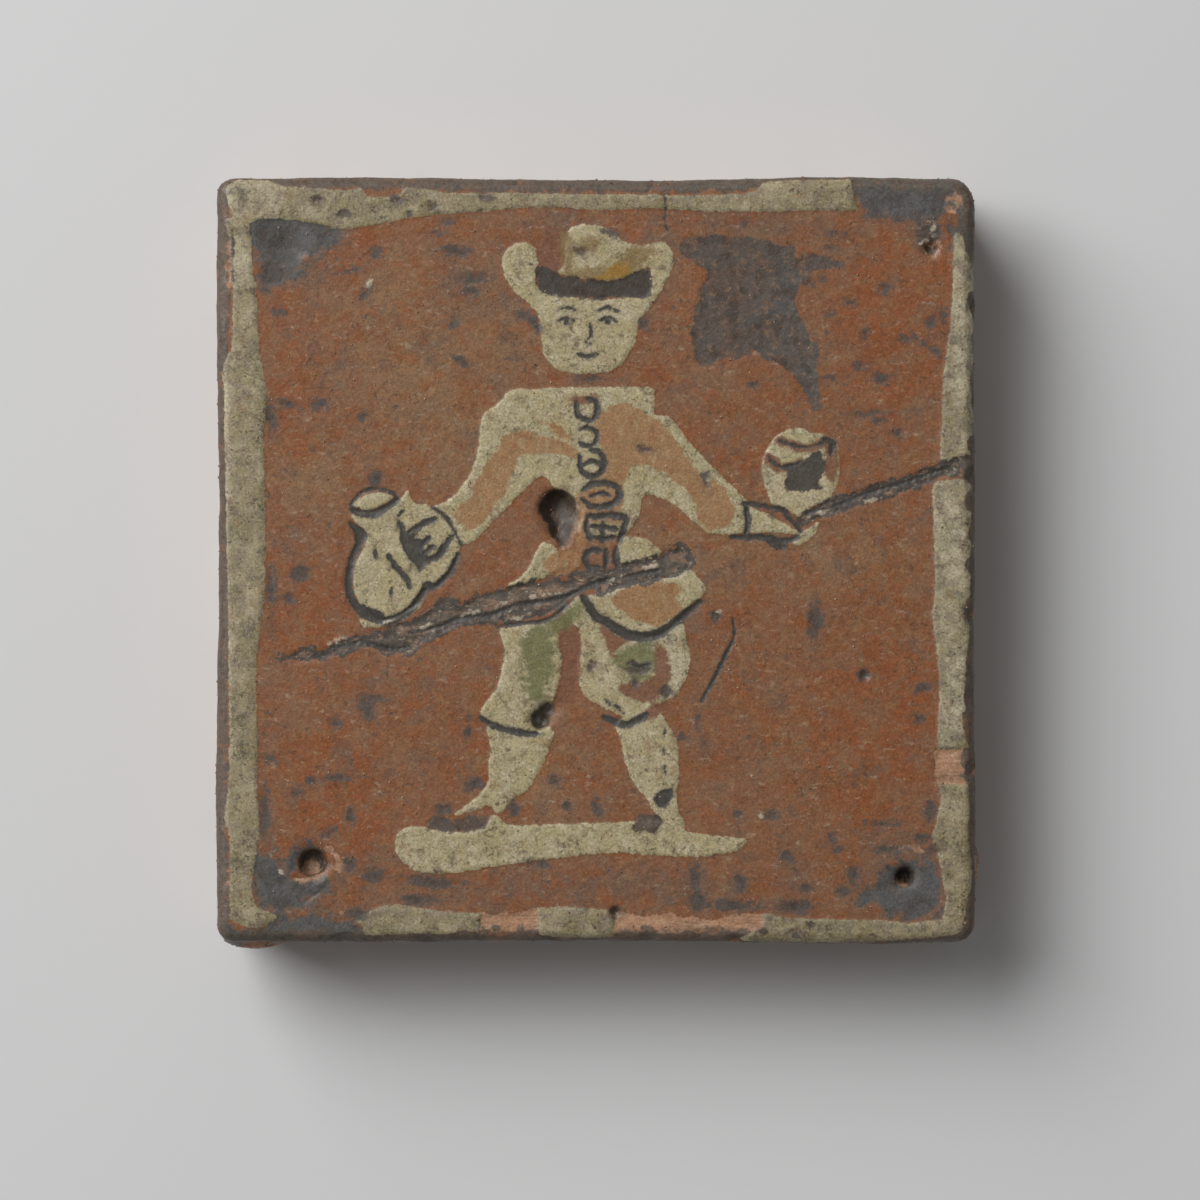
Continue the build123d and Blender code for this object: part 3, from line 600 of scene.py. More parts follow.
def smooth(points, closed=True, step=0.45):
    """A Catmull-Rom curve through points, sampled about every step. A point given twice is a sharp corner."""
    knots = np.array(points, float)
    count = len(knots)
    pieces = []
    for i in range(count if closed else count - 1):
        around = [i - 1, i, i + 1, i + 2]
        a, b, c, d = (knots[k % count] if closed else knots[min(max(k, 0), count - 1)] for k in around)
        cuts = max(1, math.ceil(np.linalg.norm(c - b) / step))
        t = np.arange(cuts)[:, None] / cuts
        bend, twist = 2 * a - 5 * b + 4 * c - d, 3 * b - a - 3 * c + d
        pieces.append(b + ((c - a) * t + bend * t**2 + twist * t**3) / 2)
    if not closed:
        pieces.append(knots[-1:])
    return np.concatenate(pieces)


def nearest(at, line, closed):
    """The distance from each point to a line, and how far along the line that is, from 0 to 1."""
    start, end = (line, np.roll(line, -1, 0)) if closed else (line[:-1], line[1:])
    span = end - start
    gap = at[:, None] - start
    share = ((gap * span).sum(2) / (span**2).sum(1).clip(1e-9)).clip(0, 1)
    square = ((gap - share[..., None] * span) ** 2).sum(2)
    pick = square.argmin(1)
    each = np.arange(len(at))
    return np.sqrt(square[each, pick]), (pick + share[each, pick]) / len(span)


def within(at, outline):
    """Whether each point is inside a closed outline, by counting the edges that a level line crosses."""
    x, y = at[:, :1], at[:, 1:]
    (x0, y0), (x1, y1) = outline.T, np.roll(outline, -1, 0).T
    rise = np.where(y1 == y0, 1, y1 - y0)
    crossed = ((y0 > y) != (y1 > y)) & (x < x0 + (y - y0) * (x1 - x0) / rise)
    return crossed.sum(1) % 2 == 1


def area_depth(at, outline):
    """How deep each point lies inside an outline, in mm, and less than 0 outside."""
    return np.where(within(at, outline), 1, -1) * nearest(at, outline, True)[0]


def stroke_depth(at, line, width):
    """How deep each point lies inside a brush stroke, which thins to 55% of its width at both ends."""
    away, along = nearest(at, line, False)
    return width / 2 * (0.55 + 0.45 * np.sin(np.pi * along) ** 0.5) - away


def spot_depth(at, spot):
    """How deep each point lies inside a turned ellipse."""
    x, y, width, height, turn = spot
    angle = math.radians(turn)
    dx, dy = at[:, 0] - x, at[:, 1] - y
    across = (dx * math.cos(angle) + dy * math.sin(angle)) / (width / 2)
    up = (dy * math.cos(angle) - dx * math.sin(angle)) / (height / 2)
    return (1 - np.hypot(across, up)) * min(width, height) / 2


def near_only(at, around, measure, batch=3000):
    """Measures only the points within REACH of the box round some others, a batch at a time."""
    depth = np.full(len(at), -REACH)
    close = np.flatnonzero(((at > around.min(0) - REACH) & (at < around.max(0) + REACH)).all(1))
    for first in range(0, len(close), batch):
        some = close[first:first + batch]
        depth[some] = measure(at[some])
    return depth.clip(-REACH, REACH)


def outline_depth(at, outline):
    """area_depth for many points, as far as REACH."""
    return near_only(at, outline, lambda some: area_depth(some, outline))


def area_part(at, points):
    """The depth of each point in an area or a hole."""
    return outline_depth(at, smooth(points))


def stroke_part(at, stroke):
    """The depth of each point in a stroke."""
    width, points = stroke
    line = smooth(points, closed=False)
    return near_only(at, line, lambda some: stroke_depth(some, line, width))


def spot_part(at, spot):
    """The depth of each point in a spot or a bite."""
    centre, size = np.array(spot[:2]), max(spot[2:4])
    return near_only(at, np.array([centre - size, centre + size]), lambda some: spot_depth(some, spot))


def coat_depth(at, coat):
    """How deep each point lies inside a coat: the deepest of its parts, less its bites and holes."""
    depth = np.full(len(at), -REACH)
    for kind, part in (("areas", area_part), ("strokes", stroke_part), ("spots", spot_part)):
        for given in coat.get(kind, []):
            depth = np.maximum(depth, part(at, given))
    for kind, part in (("bites", spot_part), ("holes", area_part)):
        for given in coat.get(kind, []):
            depth = np.minimum(depth, -part(at, given))
    return depth


def zone_share(at, blobs):
    """How strongly each point lies in a set of soft zones, from 0 to 1."""
    share = np.zeros(len(at))
    for x, y, wide, high in blobs:
        share = np.maximum(share, np.exp(-((at[:, 0] - x) / wide) ** 2 - ((at[:, 1] - y) / high) ** 2))
    return share


def ramp(value, low, high):
    """A soft step from 0 at low to 1 at high."""
    t = ((value - low) / (high - low)).clip(0, 1)
    return t * t * (3 - 2 * t)


def ripple(at, size, seed, stretch=(1, 1, 1)):
    """Smooth noise from about -1 to 1 with features of about size mm, for points in space."""
    spot = np.asarray(at) / (size * np.array(stretch)) + seed * 17.3
    return np.array([noise.noise(Vector(p)) for p in spot])


def level_points(at):
    """Points on the face or the back as points in space, for ripple."""
    return np.column_stack([at, np.zeros(len(at))])


class TileSizes(bpy.types.PropertyGroup):
    """Sizes of the tile's fine relief."""

    slip_height: FloatProperty(
        name="Slip height", description="How far the trailed slip stands above the clay",
        default=0.2 * MM, min=0, unit="LENGTH", precision=5)
    groove_depth: FloatProperty(
        name="Line depth", description="How deep the dark lines are cut into the slip",
        default=0.16 * MM, min=0, unit="LENGTH", precision=5)
    flake_depth: FloatProperty(
        name="Flaked depth", description="How deep the sash and staff have flaked",
        default=0.26 * MM, min=0, unit="LENGTH", precision=5)
    wave_height: FloatProperty(
        name="Waviness", description="How much the pressed face rises and falls",
        default=0.09 * MM, min=0, unit="LENGTH", precision=5)
    grain_height: FloatProperty(
        name="Graininess", description="Height of the sandy grain under the glaze",
        default=0.018 * MM, min=0, unit="LENGTH", precision=5)
    wide_step: FloatProperty(
        name="Plain spacing", description="Distance between mesh points on plain clay",
        default=1.12 * MM, min=0.4 * MM, unit="LENGTH", precision=5)
    edge_stations: IntProperty(
        name="Edge points", description="Mesh points once round the tile's edge", default=800, min=200)


class SandSizes(bpy.types.PropertyGroup):
    """Sizes of the quartz grains that stand out of the glaze and the sides."""

    grain_size: FloatProperty(
        name="Grain size", description="Diameter of a typical quartz grain",
        default=0.42 * MM, min=0, unit="LENGTH", precision=5)
    density: FloatProperty(
        name="Grains per square metre", description="How thickly the grains lie where there is most sand",
        default=150000, min=0)
    seed: IntProperty(name="Seed", description="Picks another scatter of grains", default=7)


def linear(colour):
    """The linear colour, with alpha, of an sRGB hex value."""
    parts = [int(colour[i:i + 2], 16) / 255 for i in (1, 3, 5)]
    return [c / 12.92 if c <= 0.04045 else ((c + 0.055) / 1.055) ** 2.4 for c in parts] + [1.0]


def colour_property(name, description, value):
    """A colour that a user can change, given as sRGB hex."""
    return FloatVectorProperty(
        name=name, description=description, default=linear(value), size=4, min=0, max=1, subtype="COLOR")


class TileColours(bpy.types.PropertyGroup):
    """Colours of the clay, the slip and the glazes."""

    clay: colour_property("Clay", "Red clay under clear glaze", "#85593b")
    clay_vivid: colour_property("Bright clay", "Clay where the glaze is thin and the red is bright", "#8a4d23")
    clay_olive: colour_property("Olive clay", "Clay where the glaze is thick and yellowish", "#8d6b48")
    clay_smoky: colour_property("Smoky clay", "Clay that the kiln has smoked grey", "#6c5444")
    bare: colour_property("Bare clay", "Clay with no glaze, on fresh chips", "#b98f70")
    slip: colour_property("Slip", "White slip under yellowish glaze", "#9b8e6d")
    slip_light: colour_property("Light slip", "Slip where the glaze is worn off", "#c2b79b")
    slip_deep: colour_property("Deep slip", "Slip where the glaze is thick and more olive", "#857a59")
    cream: colour_property("Cream", "Thick slip of the figure", "#b1a37b")
    wash: colour_property("Ochre wash", "Iron wash on the sleeves and purse", "#9b724a")
    ochre: colour_property("Ochre", "Brownish yellow glaze on the hat", "#80673c")
    amber: colour_property("Amber glaze", "Bright yellow iron glaze in the hat", "#977127")
    green: colour_property("Copper green", "Copper glaze on the breeches", "#6f6f45")
    umber: colour_property("Umber", "Red-brown iron glaze", "#7c523a")
    manganese: colour_property("Manganese", "Brownish grey manganese glaze", "#5a4d44")
    manganese_grey: colour_property("Grey manganese", "Manganese glaze where it is thickest", "#514b46")
    line: colour_property("Line", "Blackish glaze in the incised lines", "#3f3b36")
    blemish: colour_property("Blemish", "Grey glaze in sunk spots", "#504944")
    # Also the tone of the painted shade on the bottom-left lip and in two nail pricks
    pool: colour_property("Glaze pool", "Blue-grey glaze that ran together", "#585856")
    core: colour_property("Fired core", "Grey inside of the clay, in burst hollows", "#413a33")
    rim: colour_property("Rim", "Dark glaze and dirt on the edge", "#5b5349")
    # Painted shade: near black on the steep pit walls that face away from the light
    scorch: colour_property("Scorch", "Black carbon on the steep walls of burst hollows", "#17120f")
    soot: colour_property("Soot", "Dirt in hollows and on the rim", "#322719")
    quartz: colour_property("Quartz", "Pale sand grains", "#bfb19b")
    mortar: colour_property("Lime mortar", "Bedding lime left on the sides and the back", "#b3a891")


class StageSettings(bpy.types.PropertyGroup):
    """The studio: camera, soft light and floor."""

    picture_width: FloatProperty(
        name="Picture width", description="Width of floor that the picture takes in",
        default=211.6 * MM, min=0, unit="LENGTH", precision=4)
    camera_height: FloatProperty(
        name="Camera height", description="Camera's distance above the tile's face",
        default=1300 * MM, min=0, unit="LENGTH")
    key_power: FloatProperty(
        name="Key light", description="Power of the large soft light", default=45.8, min=0, unit="POWER")
    key_size: FloatProperty(
        name="Key size", description="Side of the square soft light", default=1.55, min=0, unit="LENGTH")
    fill: FloatProperty(
        name="Fill", description="Brightness of the even light from all round", default=0.165, min=0)
    floor: colour_property("Floor", "Pale paper that the tile lies on", "#dcdcdc")


def cad_surface():
    """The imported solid, to cast rays at, in mm."""
    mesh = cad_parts[NODE].data
    points = [vertex.co / MM for vertex in mesh.vertices]
    return BVHTree.FromPolygons(points, [tuple(face.vertices) for face in mesh.polygons])


def edge_walk(count):
    """Points and outward directions evenly round a rounded rectangle inside the tile's outline."""
    half = [(HIGH.x - LOW.x) / 2 - WALK_CORNER - WALK_INSET, (HIGH.y - LOW.y) / 2 - WALK_CORNER - WALK_INSET]
    middle = [(HIGH.x + LOW.x) / 2, (HIGH.y + LOW.y) / 2]
    arc = math.pi / 2 * WALK_CORNER
    runs = [2 * half[1], arc, 2 * half[0], arc, 2 * half[1], arc, 2 * half[0], arc]
    signs = [(1, -1), (1, 1), (-1, 1), (-1, -1)]
    spots, ways = [], []
    for step in range(count):
        left = step * sum(runs) / count
        run = 0
        while left > runs[run]:
            left -= runs[run]
            run += 1
        side, turning = divmod(run, 2)
        angle = side * math.pi / 2 + (left / WALK_CORNER if turning else 0)
        way = np.array([math.cos(angle), math.sin(angle)])
        sign = signs[(side + turning) % 4] if turning else signs[side]
        start = np.array([middle[0] + sign[0] * half[0], middle[1] + sign[1] * half[1]])
        if not turning:
            start = start + left * np.array([-way[1], way[0]])
        spots.append(start + WALK_CORNER * way)
        ways.append(way)
    return np.array(spots), np.array(ways)


def edge_rows(surface, count):
    """Rows of points round the tile, from just inside the face, over the rim and down the side to the back.

    Rays from outside find the wall. Rays towards the centre of a rounding find the rim and the back edge."""
    spots, ways = edge_walk(count)
    rows = [("rim", angle) for angle in RIM_ANGLES]
    rows += [("side", height) for height in np.linspace(FACE_Z - RIM_RADIUS - 1.1, BACK_RADIUS + 0.6, SIDE_ROWS)]
    rows += [("back", angle) for angle in BACK_ANGLES]
    placed = np.zeros((len(rows), count, 3))
    for i in range(count):
        out = Vector((*ways[i], 0))
        centres = {}
        for name, height, radius, aside in (("rim", FACE_Z - RIM_RADIUS, RIM_RADIUS, -0.3),
                                            ("back", BACK_RADIUS, BACK_RADIUS, 0.3)):
            beside = Vector((*spots[i], height + aside))
            hit = surface.ray_cast(beside + out * WALL_RAY, -out)[0]
            centres[name] = Vector((hit.x, hit.y, height)) - out * radius
        for row, (name, value) in enumerate(rows):
            if name == "side":
                start = Vector((*spots[i], value)) + out * WALL_RAY
                placed[row, i] = surface.ray_cast(start, -out)[0]
                continue
            way = out * math.cos(math.radians(value)) + Vector((0, 0, math.sin(math.radians(value))))
            hit, _, _, gone = surface.ray_cast(centres[name] + way * ROUND_RAY, -way)
            reach = 0.1 if hit is None else max(ROUND_RAY - gone, 0.1)
            if name == "rim" and value > 30:
                reach = min(reach, RIM_RADIUS)
            placed[row, i] = centres[name] + way * reach
    placed[..., 2] = np.minimum(placed[..., 2], FACE_Z)
    return placed


def face_points(rim_loop, step):
    """Points on the face inside the rim: wide apart on plain clay and close together at each edge of a coat."""
    random = np.random.default_rng(11)
    low, high = rim_loop.min(0), rim_loop.max(0)
    fine = step / 2
    xs, ys = (np.arange(low[k] + fine, high[k], fine) for k in (0, 1))
    column, row = np.meshgrid(np.arange(len(xs)), np.arange(len(ys)))
    lattice = np.column_stack([xs[column.ravel()], ys[row.ravel()]])
    edge = np.full(len(lattice), REACH)
    for name in EDGED:
        edge = np.minimum(edge, np.abs(coat_depth(lattice, COATS[name])))
    plain = ((column % 2 == 0) & (row % 2 == 0)).ravel()
    chosen = lattice[plain | (edge < FINE_WITHIN)]
    close = lattice[edge < FINEST_WITHIN]
    between = [close + np.array(shift) * fine / 2 for shift in ((1, 0), (0, 1), (1, 1))]
    points = np.concatenate([chosen, *between])
    points += random.uniform(-0.16, 0.16, points.shape) * fine
    return points[outline_depth(points, rim_loop) > 0.3]


def fired_surface(surface, at):
    """Height of the clay under each point, with the mouths of pits and pricks softened as glaze softens them."""
    spread, above = 0.22, 40
    around = ((0, 0), (spread, 0), (-spread, 0), (0, spread), (0, -spread))
    total = np.zeros(len(at))
    for dx, dy in around:
        hits = (surface.ray_cast(Vector((x + dx, y + dy, above)), Vector((0, 0, -1)))[0] for x, y in at)
        total += np.array([FACE_Z if hit is None else min(hit.z, FACE_Z) for hit in hits])
    return total / len(around)


def relief(at, depth, pit, sizes):
    """Height in mm of slip, lines, flakes and blemishes above the clay, and of torn clay in the pits."""
    flat = level_points(at)
    grain = ripple(flat, 1.1, 1)
    flakes = ripple(flat, 1.5, 2, (2.2, 1, 1)) + 0.6 * ripple(flat, 0.7, 3)
    drag = ripple(flat, 0.7, 4, (9, 1, 1))
    slip = ramp(depth["slip"], -0.12, 0.35) * (1 - 0.75 * ramp(depth["flaked"], -0.4, 0.3))
    slip *= 1 - 0.8 * ramp(depth["blemish"], -0.3, 0.4)
    height = sizes.slip_height / MM * slip * (0.85 + 0.35 * ripple(flat, 4.5, 5))
    height -= sizes.groove_depth / MM * ramp(depth["line"], -0.15, 0.35)
    height -= sizes.flake_depth / MM * ramp(depth["flaked"], -0.25, 0.5) * (0.55 + 0.75 * flakes)
    height -= 0.05 * ramp(depth["blemish"], -0.25, 0.35) * (1 + grain)
    height -= 0.06 * ramp(depth["pool"], -0.3, 0.6)
    height -= ramp(depth["bare"], -0.1, 0.4) * (0.1 + 0.14 * drag)
    height -= 0.05 * ramp(depth["manganese"], -0.2, 0.4)
    height += 0.12 * ramp(depth["fleck"], -0.15, 0.15)
    torn = 0.5 * ripple(flat, 1.7, 9, (0.6, 2.4, 1)) + 0.22 * ripple(flat, 0.8, 10)
    height += ramp(pit, 0.3, 1.4) * torn
    height += sizes.wave_height / MM * (ripple(flat, 24, 6) + 0.45 * ripple(flat, 8, 7))
    return height + sizes.grain_height / MM * (grain + 0.8 * ripple(flat, 0.55, 8))


def roughen_edge(rows, ways):
    """Moves the rim and the sides in and out, as a wire and a bat leave them, and drags them a little."""
    for row in range(1, len(rows)):
        points = rows[row]
        share = min(1, row / ROUGH_ROWS)
        push = 0.16 * ripple(points, 5, 20) + 0.09 * ripple(points, 1.6, 21) + 0.05 * ripple(points, 0.8, 22)
        drag = 0.08 * ripple(points, 0.9, 23, (8, 8, 1)) * (row >= len(RIM_ANGLES))
        points[:, :2] += ways * (share * (push + drag))[:, None]
        if row < FADE_ROWS:
            points[:, 2] += share * 0.1 * ripple(points, 1.4, 24)
    rows[-1, :, 2] = LOW.z


def back_points(loop, step=1.9):
    """Points over the flat back, inside its edge."""
    low, high = loop.min(0), loop.max(0)
    xs, ys = (np.arange(low[k] + step, high[k], step) for k in (0, 1))
    lattice = np.array([(x + (step / 2 if j % 2 else 0), y) for j, y in enumerate(ys) for x in xs])
    return lattice[outline_depth(lattice, loop) > 0.8]


def fill_loop(loop, inner):
    """Triangles over a loop and the points in it, counter-clockwise."""
    flat = np.concatenate([loop, inner])
    made = delaunay_2d_cdt([Vector(p) for p in flat], [], [list(range(len(loop)))], 1, 1e-6, True)
    if len(made[0]) != len(flat):
        raise RuntimeError("two points of the tile's mesh are in one place")
    triangles = np.array(made[2])
    on_loop = np.flatnonzero((triangles < len(loop)).all(1))
    outside = on_loop[~within(flat[triangles[on_loop]].mean(1), loop)]
    return np.delete(triangles, outside, 0)


def wall_quads(first, row_count, count):
    """Quads between each row of points round the edge and the next."""
    here = np.arange(count)
    beside = (here + 1) % count
    walls = []
    for row in range(row_count - 1):
        upper, lower = first + row * count, first + (row + 1) * count
        walls.append(np.column_stack([upper + here, lower + here, lower + beside, upper + beside]))
    return np.concatenate(walls)


def smooth_mesh(name, points, triangles, quads):
    """A mesh in metres of points in mm with triangles and quads, and the point at each of its corners."""
    corners = np.concatenate([triangles.ravel(), quads.ravel()])
    lengths = np.concatenate([np.full(len(triangles), 3), np.full(len(quads), 4)])
    starts = np.concatenate([[0], np.cumsum(lengths)[:-1]])
    mesh = bpy.data.meshes.new(name)
    mesh.vertices.add(len(points))
    mesh.vertices.foreach_set("co", (points * MM).ravel().astype(np.float32))
    mesh.loops.add(len(corners))
    mesh.loops.foreach_set("vertex_index", corners.astype(np.int32))
    mesh.polygons.add(len(lengths))
    mesh.polygons.foreach_set("loop_start", starts.astype(np.int32))
    mesh.polygons.foreach_set("use_smooth", np.ones(len(lengths), bool))
    mesh.update(calc_edges=True)
    return mesh, corners


def map_parts(face, under, row_count, count):
    """The bake map's part at each corner, 0 the face, 1 to 4 the sides, 5 the back, and the corner's station."""
    here = np.arange(count)
    walls = row_count - 1
    side = np.tile(np.repeat(np.minimum(here * 4 // count, 3), 4), walls) + 1
    row = np.repeat(np.arange(walls), count * 4)
    part = np.concatenate([np.zeros(face.size), np.full(under.size, 5), np.where(row >= MAP_ROWS, side, 0)])
    along = np.tile(np.column_stack([here, here, here + 1, here + 1]).ravel(), walls)
    return part, np.concatenate([np.zeros(face.size + under.size), along])


def bake_map(mesh, flat, height, part, station):
    """A UV map with the face, four side strips and the back laid out apart, so that none overlaps another."""
    margin, strips, pitch = 0.004, 0.68, 0.14
    scale = 0.65 / (HIGH.x - LOW.x + 1)
    across, up = (flat[:, 0] - LOW.x) * scale, (flat[:, 1] - LOW.y) * scale
    uv = np.column_stack([across, up]) + margin
    back = part == 5
    uv[back] = np.column_stack([across, up])[back] * 0.48 + [0.67, 0.005]
    quarter = station.max() / 4
    for side in range(4):
        here = part == side + 1
        along = (station[here] - side * quarter) / quarter * 0.64
        down = (FACE_Z - height[here]) * scale
        if side < 2:
            uv[here] = np.column_stack([along + margin, down + strips + side * pitch])
        else:
            uv[here] = np.column_stack([down + strips + (side - 2) * pitch, along + 0.345])
    layer = mesh.uv_layers.new(name="OFBake")
    layer.data.foreach_set("uv", uv.ravel().astype(np.float32))


def build_tile_mesh(sizes):
    """One closed mesh of the tile, with the depth in each coat kept on its points for the finish.

    Its points are those inside the face, then the rows round the edge, then those inside the back."""
    surface = cad_surface()
    count = sizes.edge_stations
    rows = edge_rows(surface, count)
    ways = edge_walk(count)[1]
    loop = rows[0, :, :2].copy()
    inner = face_points(loop, sizes.wide_step / MM)
    clay = fired_surface(surface, inner)
    roughen_edge(rows, ways)
    back_loop = rows[-1, :, :2]
    back = back_points(back_loop)
    edge = rows.reshape(-1, 3)

    at = np.concatenate([inner, edge[:, :2], back])
    base = np.concatenate([clay, edge[:, 2], np.zeros(len(back))])
    drop = np.concatenate([np.zeros(len(inner)), (FACE_Z - 1.2 - edge[:, 2]).clip(0), np.full(len(back), 99)])
    depth = {name: (coat_depth(at, coat) - drop).clip(-REACH, REACH) for name, coat in COATS.items()}
    depth["slip"] = np.maximum(depth["border"], depth["figure"])
    shade = {name: zone_share(at, blobs) * np.exp(-drop) for name, blobs in ZONES.items()}
    rim = np.where(drop > 0, -REACH, outline_depth(at, loop))
    pit = np.concatenate([FACE_Z - clay, np.zeros(len(edge) + len(back))])
    fade = np.concatenate([np.ones(len(inner)), np.repeat(np.linspace(1, 0, FADE_ROWS), count),
                           np.zeros(len(edge) - FADE_ROWS * count + len(back))])
    height = base + relief(at, depth, pit, sizes) * fade
    height[-len(back):] = 0.07 * (1 + ripple(level_points(back), 3.2, 30, (2, 1, 1)))

    face = fill_loop(loop, inner)
    face = np.where(face < count, face + len(inner), face - count)
    under = fill_loop(back_loop, back)
    last = len(inner) + (len(rows) - 1) * count
    under = np.where(under < count, under + last, under - count + len(inner) + len(edge))[:, ::-1]
    mesh, corners = smooth_mesh("fired_tile", np.column_stack([at, height]), np.concatenate([face, under]),
                                wall_quads(len(inner), len(rows), count))
    bake_map(mesh, at[corners], height[corners], *map_parts(face, under, len(rows), count))
    for name, values in {**depth, **shade, "rim": rim, "pit": pit, "drop": drop.clip(0, 30)}.items():
        mesh.attributes.new(name, "FLOAT", "POINT").data.foreach_set("value", values.astype(np.float32))
    mesh.validate()
    return mesh


def add(tree, kind, inputs=None, **settings):
    """Adds a node, makes its settings, and fills or links its inputs by name, identifier or number."""
    made = tree.nodes.new(kind)
    for name, value in settings.items():
        setattr(made, name, value)
    for key, value in (inputs or {}).items():
        if isinstance(key, int):
            socket = made.inputs[key]
        else:
            socket = next(s for s in made.inputs if key in (s.identifier, s.name) and s.enabled)
        if isinstance(value, bpy.types.NodeSocket):
            tree.links.new(value, socket)
        else:
            socket.default_value = value
    return made.outputs


def per_mm(size):
    """The texture scale, on coordinates in metres, that gives features of a size in mm."""
    return 1 / (size * MM)


def new_material(name):
    """An empty material with its tree and shader."""
    material = bpy.data.materials.new(name)
    material.use_nodes = True
    return material, material.node_tree, material.node_tree.nodes["Principled BSDF"]


def lay(tree, under, colour, *amounts):
    """Lays a colour over what is there, as strongly as amounts from 0 to 1 make when multiplied."""
    share = amounts[0]
    for amount in amounts[1:]:
        share = add(tree, "ShaderNodeMath", {0: share, 1: amount}, operation="MULTIPLY")[0]
    return add(tree, "ShaderNodeMix", {"Factor_Float": share, "A_Color": under, "B_Color": colour},
               data_type="RGBA")[2]


def mottle(tree, place, size, low, high, detail=3, full=1.0):
    """Patches about a size in mm across, where noise is above low, and full above high."""
    cloudy = add(tree, "ShaderNodeTexNoise", {"Vector": place, "Scale": per_mm(size), "Detail": detail,
                                              "Roughness": 0.62})["Fac"]
    return add(tree, "ShaderNodeMapRange", {"Value": cloudy, "From Min": low, "From Max": high, "To Max": full},
               interpolation_type="SMOOTHSTEP")["Result"]


def cover(tree, name, wobble, ragged, soft=0.12, grow=0.0, full=1.0):
    """How fully a coat covers a point: full inside its edge, which noise moves by up to ragged mm."""
    held = add(tree, "ShaderNodeAttribute", attribute_name=name)["Fac"]
    edge = add(tree, "ShaderNodeMath", {0: wobble, 1: 2 * ragged, 2: held}, operation="MULTIPLY_ADD")[0]
    middle = ragged - grow
    return add(tree, "ShaderNodeMapRange", {"Value": edge, "From Min": middle - soft, "From Max": middle + soft,
                                            "To Max": full}, interpolation_type="SMOOTHSTEP")["Result"]


def zone(tree, name, wobble, full):
    """How strongly a soft zone shows, broken up by noise."""
    held = add(tree, "ShaderNodeAttribute", attribute_name=name)["Fac"]
    total = add(tree, "ShaderNodeMath", {0: held, 1: wobble}, operation="ADD")[0]
    return add(tree, "ShaderNodeMapRange", {"Value": total, "From Min": 0.5, "From Max": 1.5,
                                            "To Max": full})["Result"]


def crazing(tree, place, spacing, width):
    """Fine cracks in the glaze, in mm, as the edges between cells."""
    gap = add(tree, "ShaderNodeTexVoronoi", {"Vector": place, "Scale": per_mm(spacing)},
              feature="DISTANCE_TO_EDGE")["Distance"]
    return add(tree, "ShaderNodeMapRange", {
        "Value": gap, "From Min": width / spacing, "From Max": 0.0})["Result"]


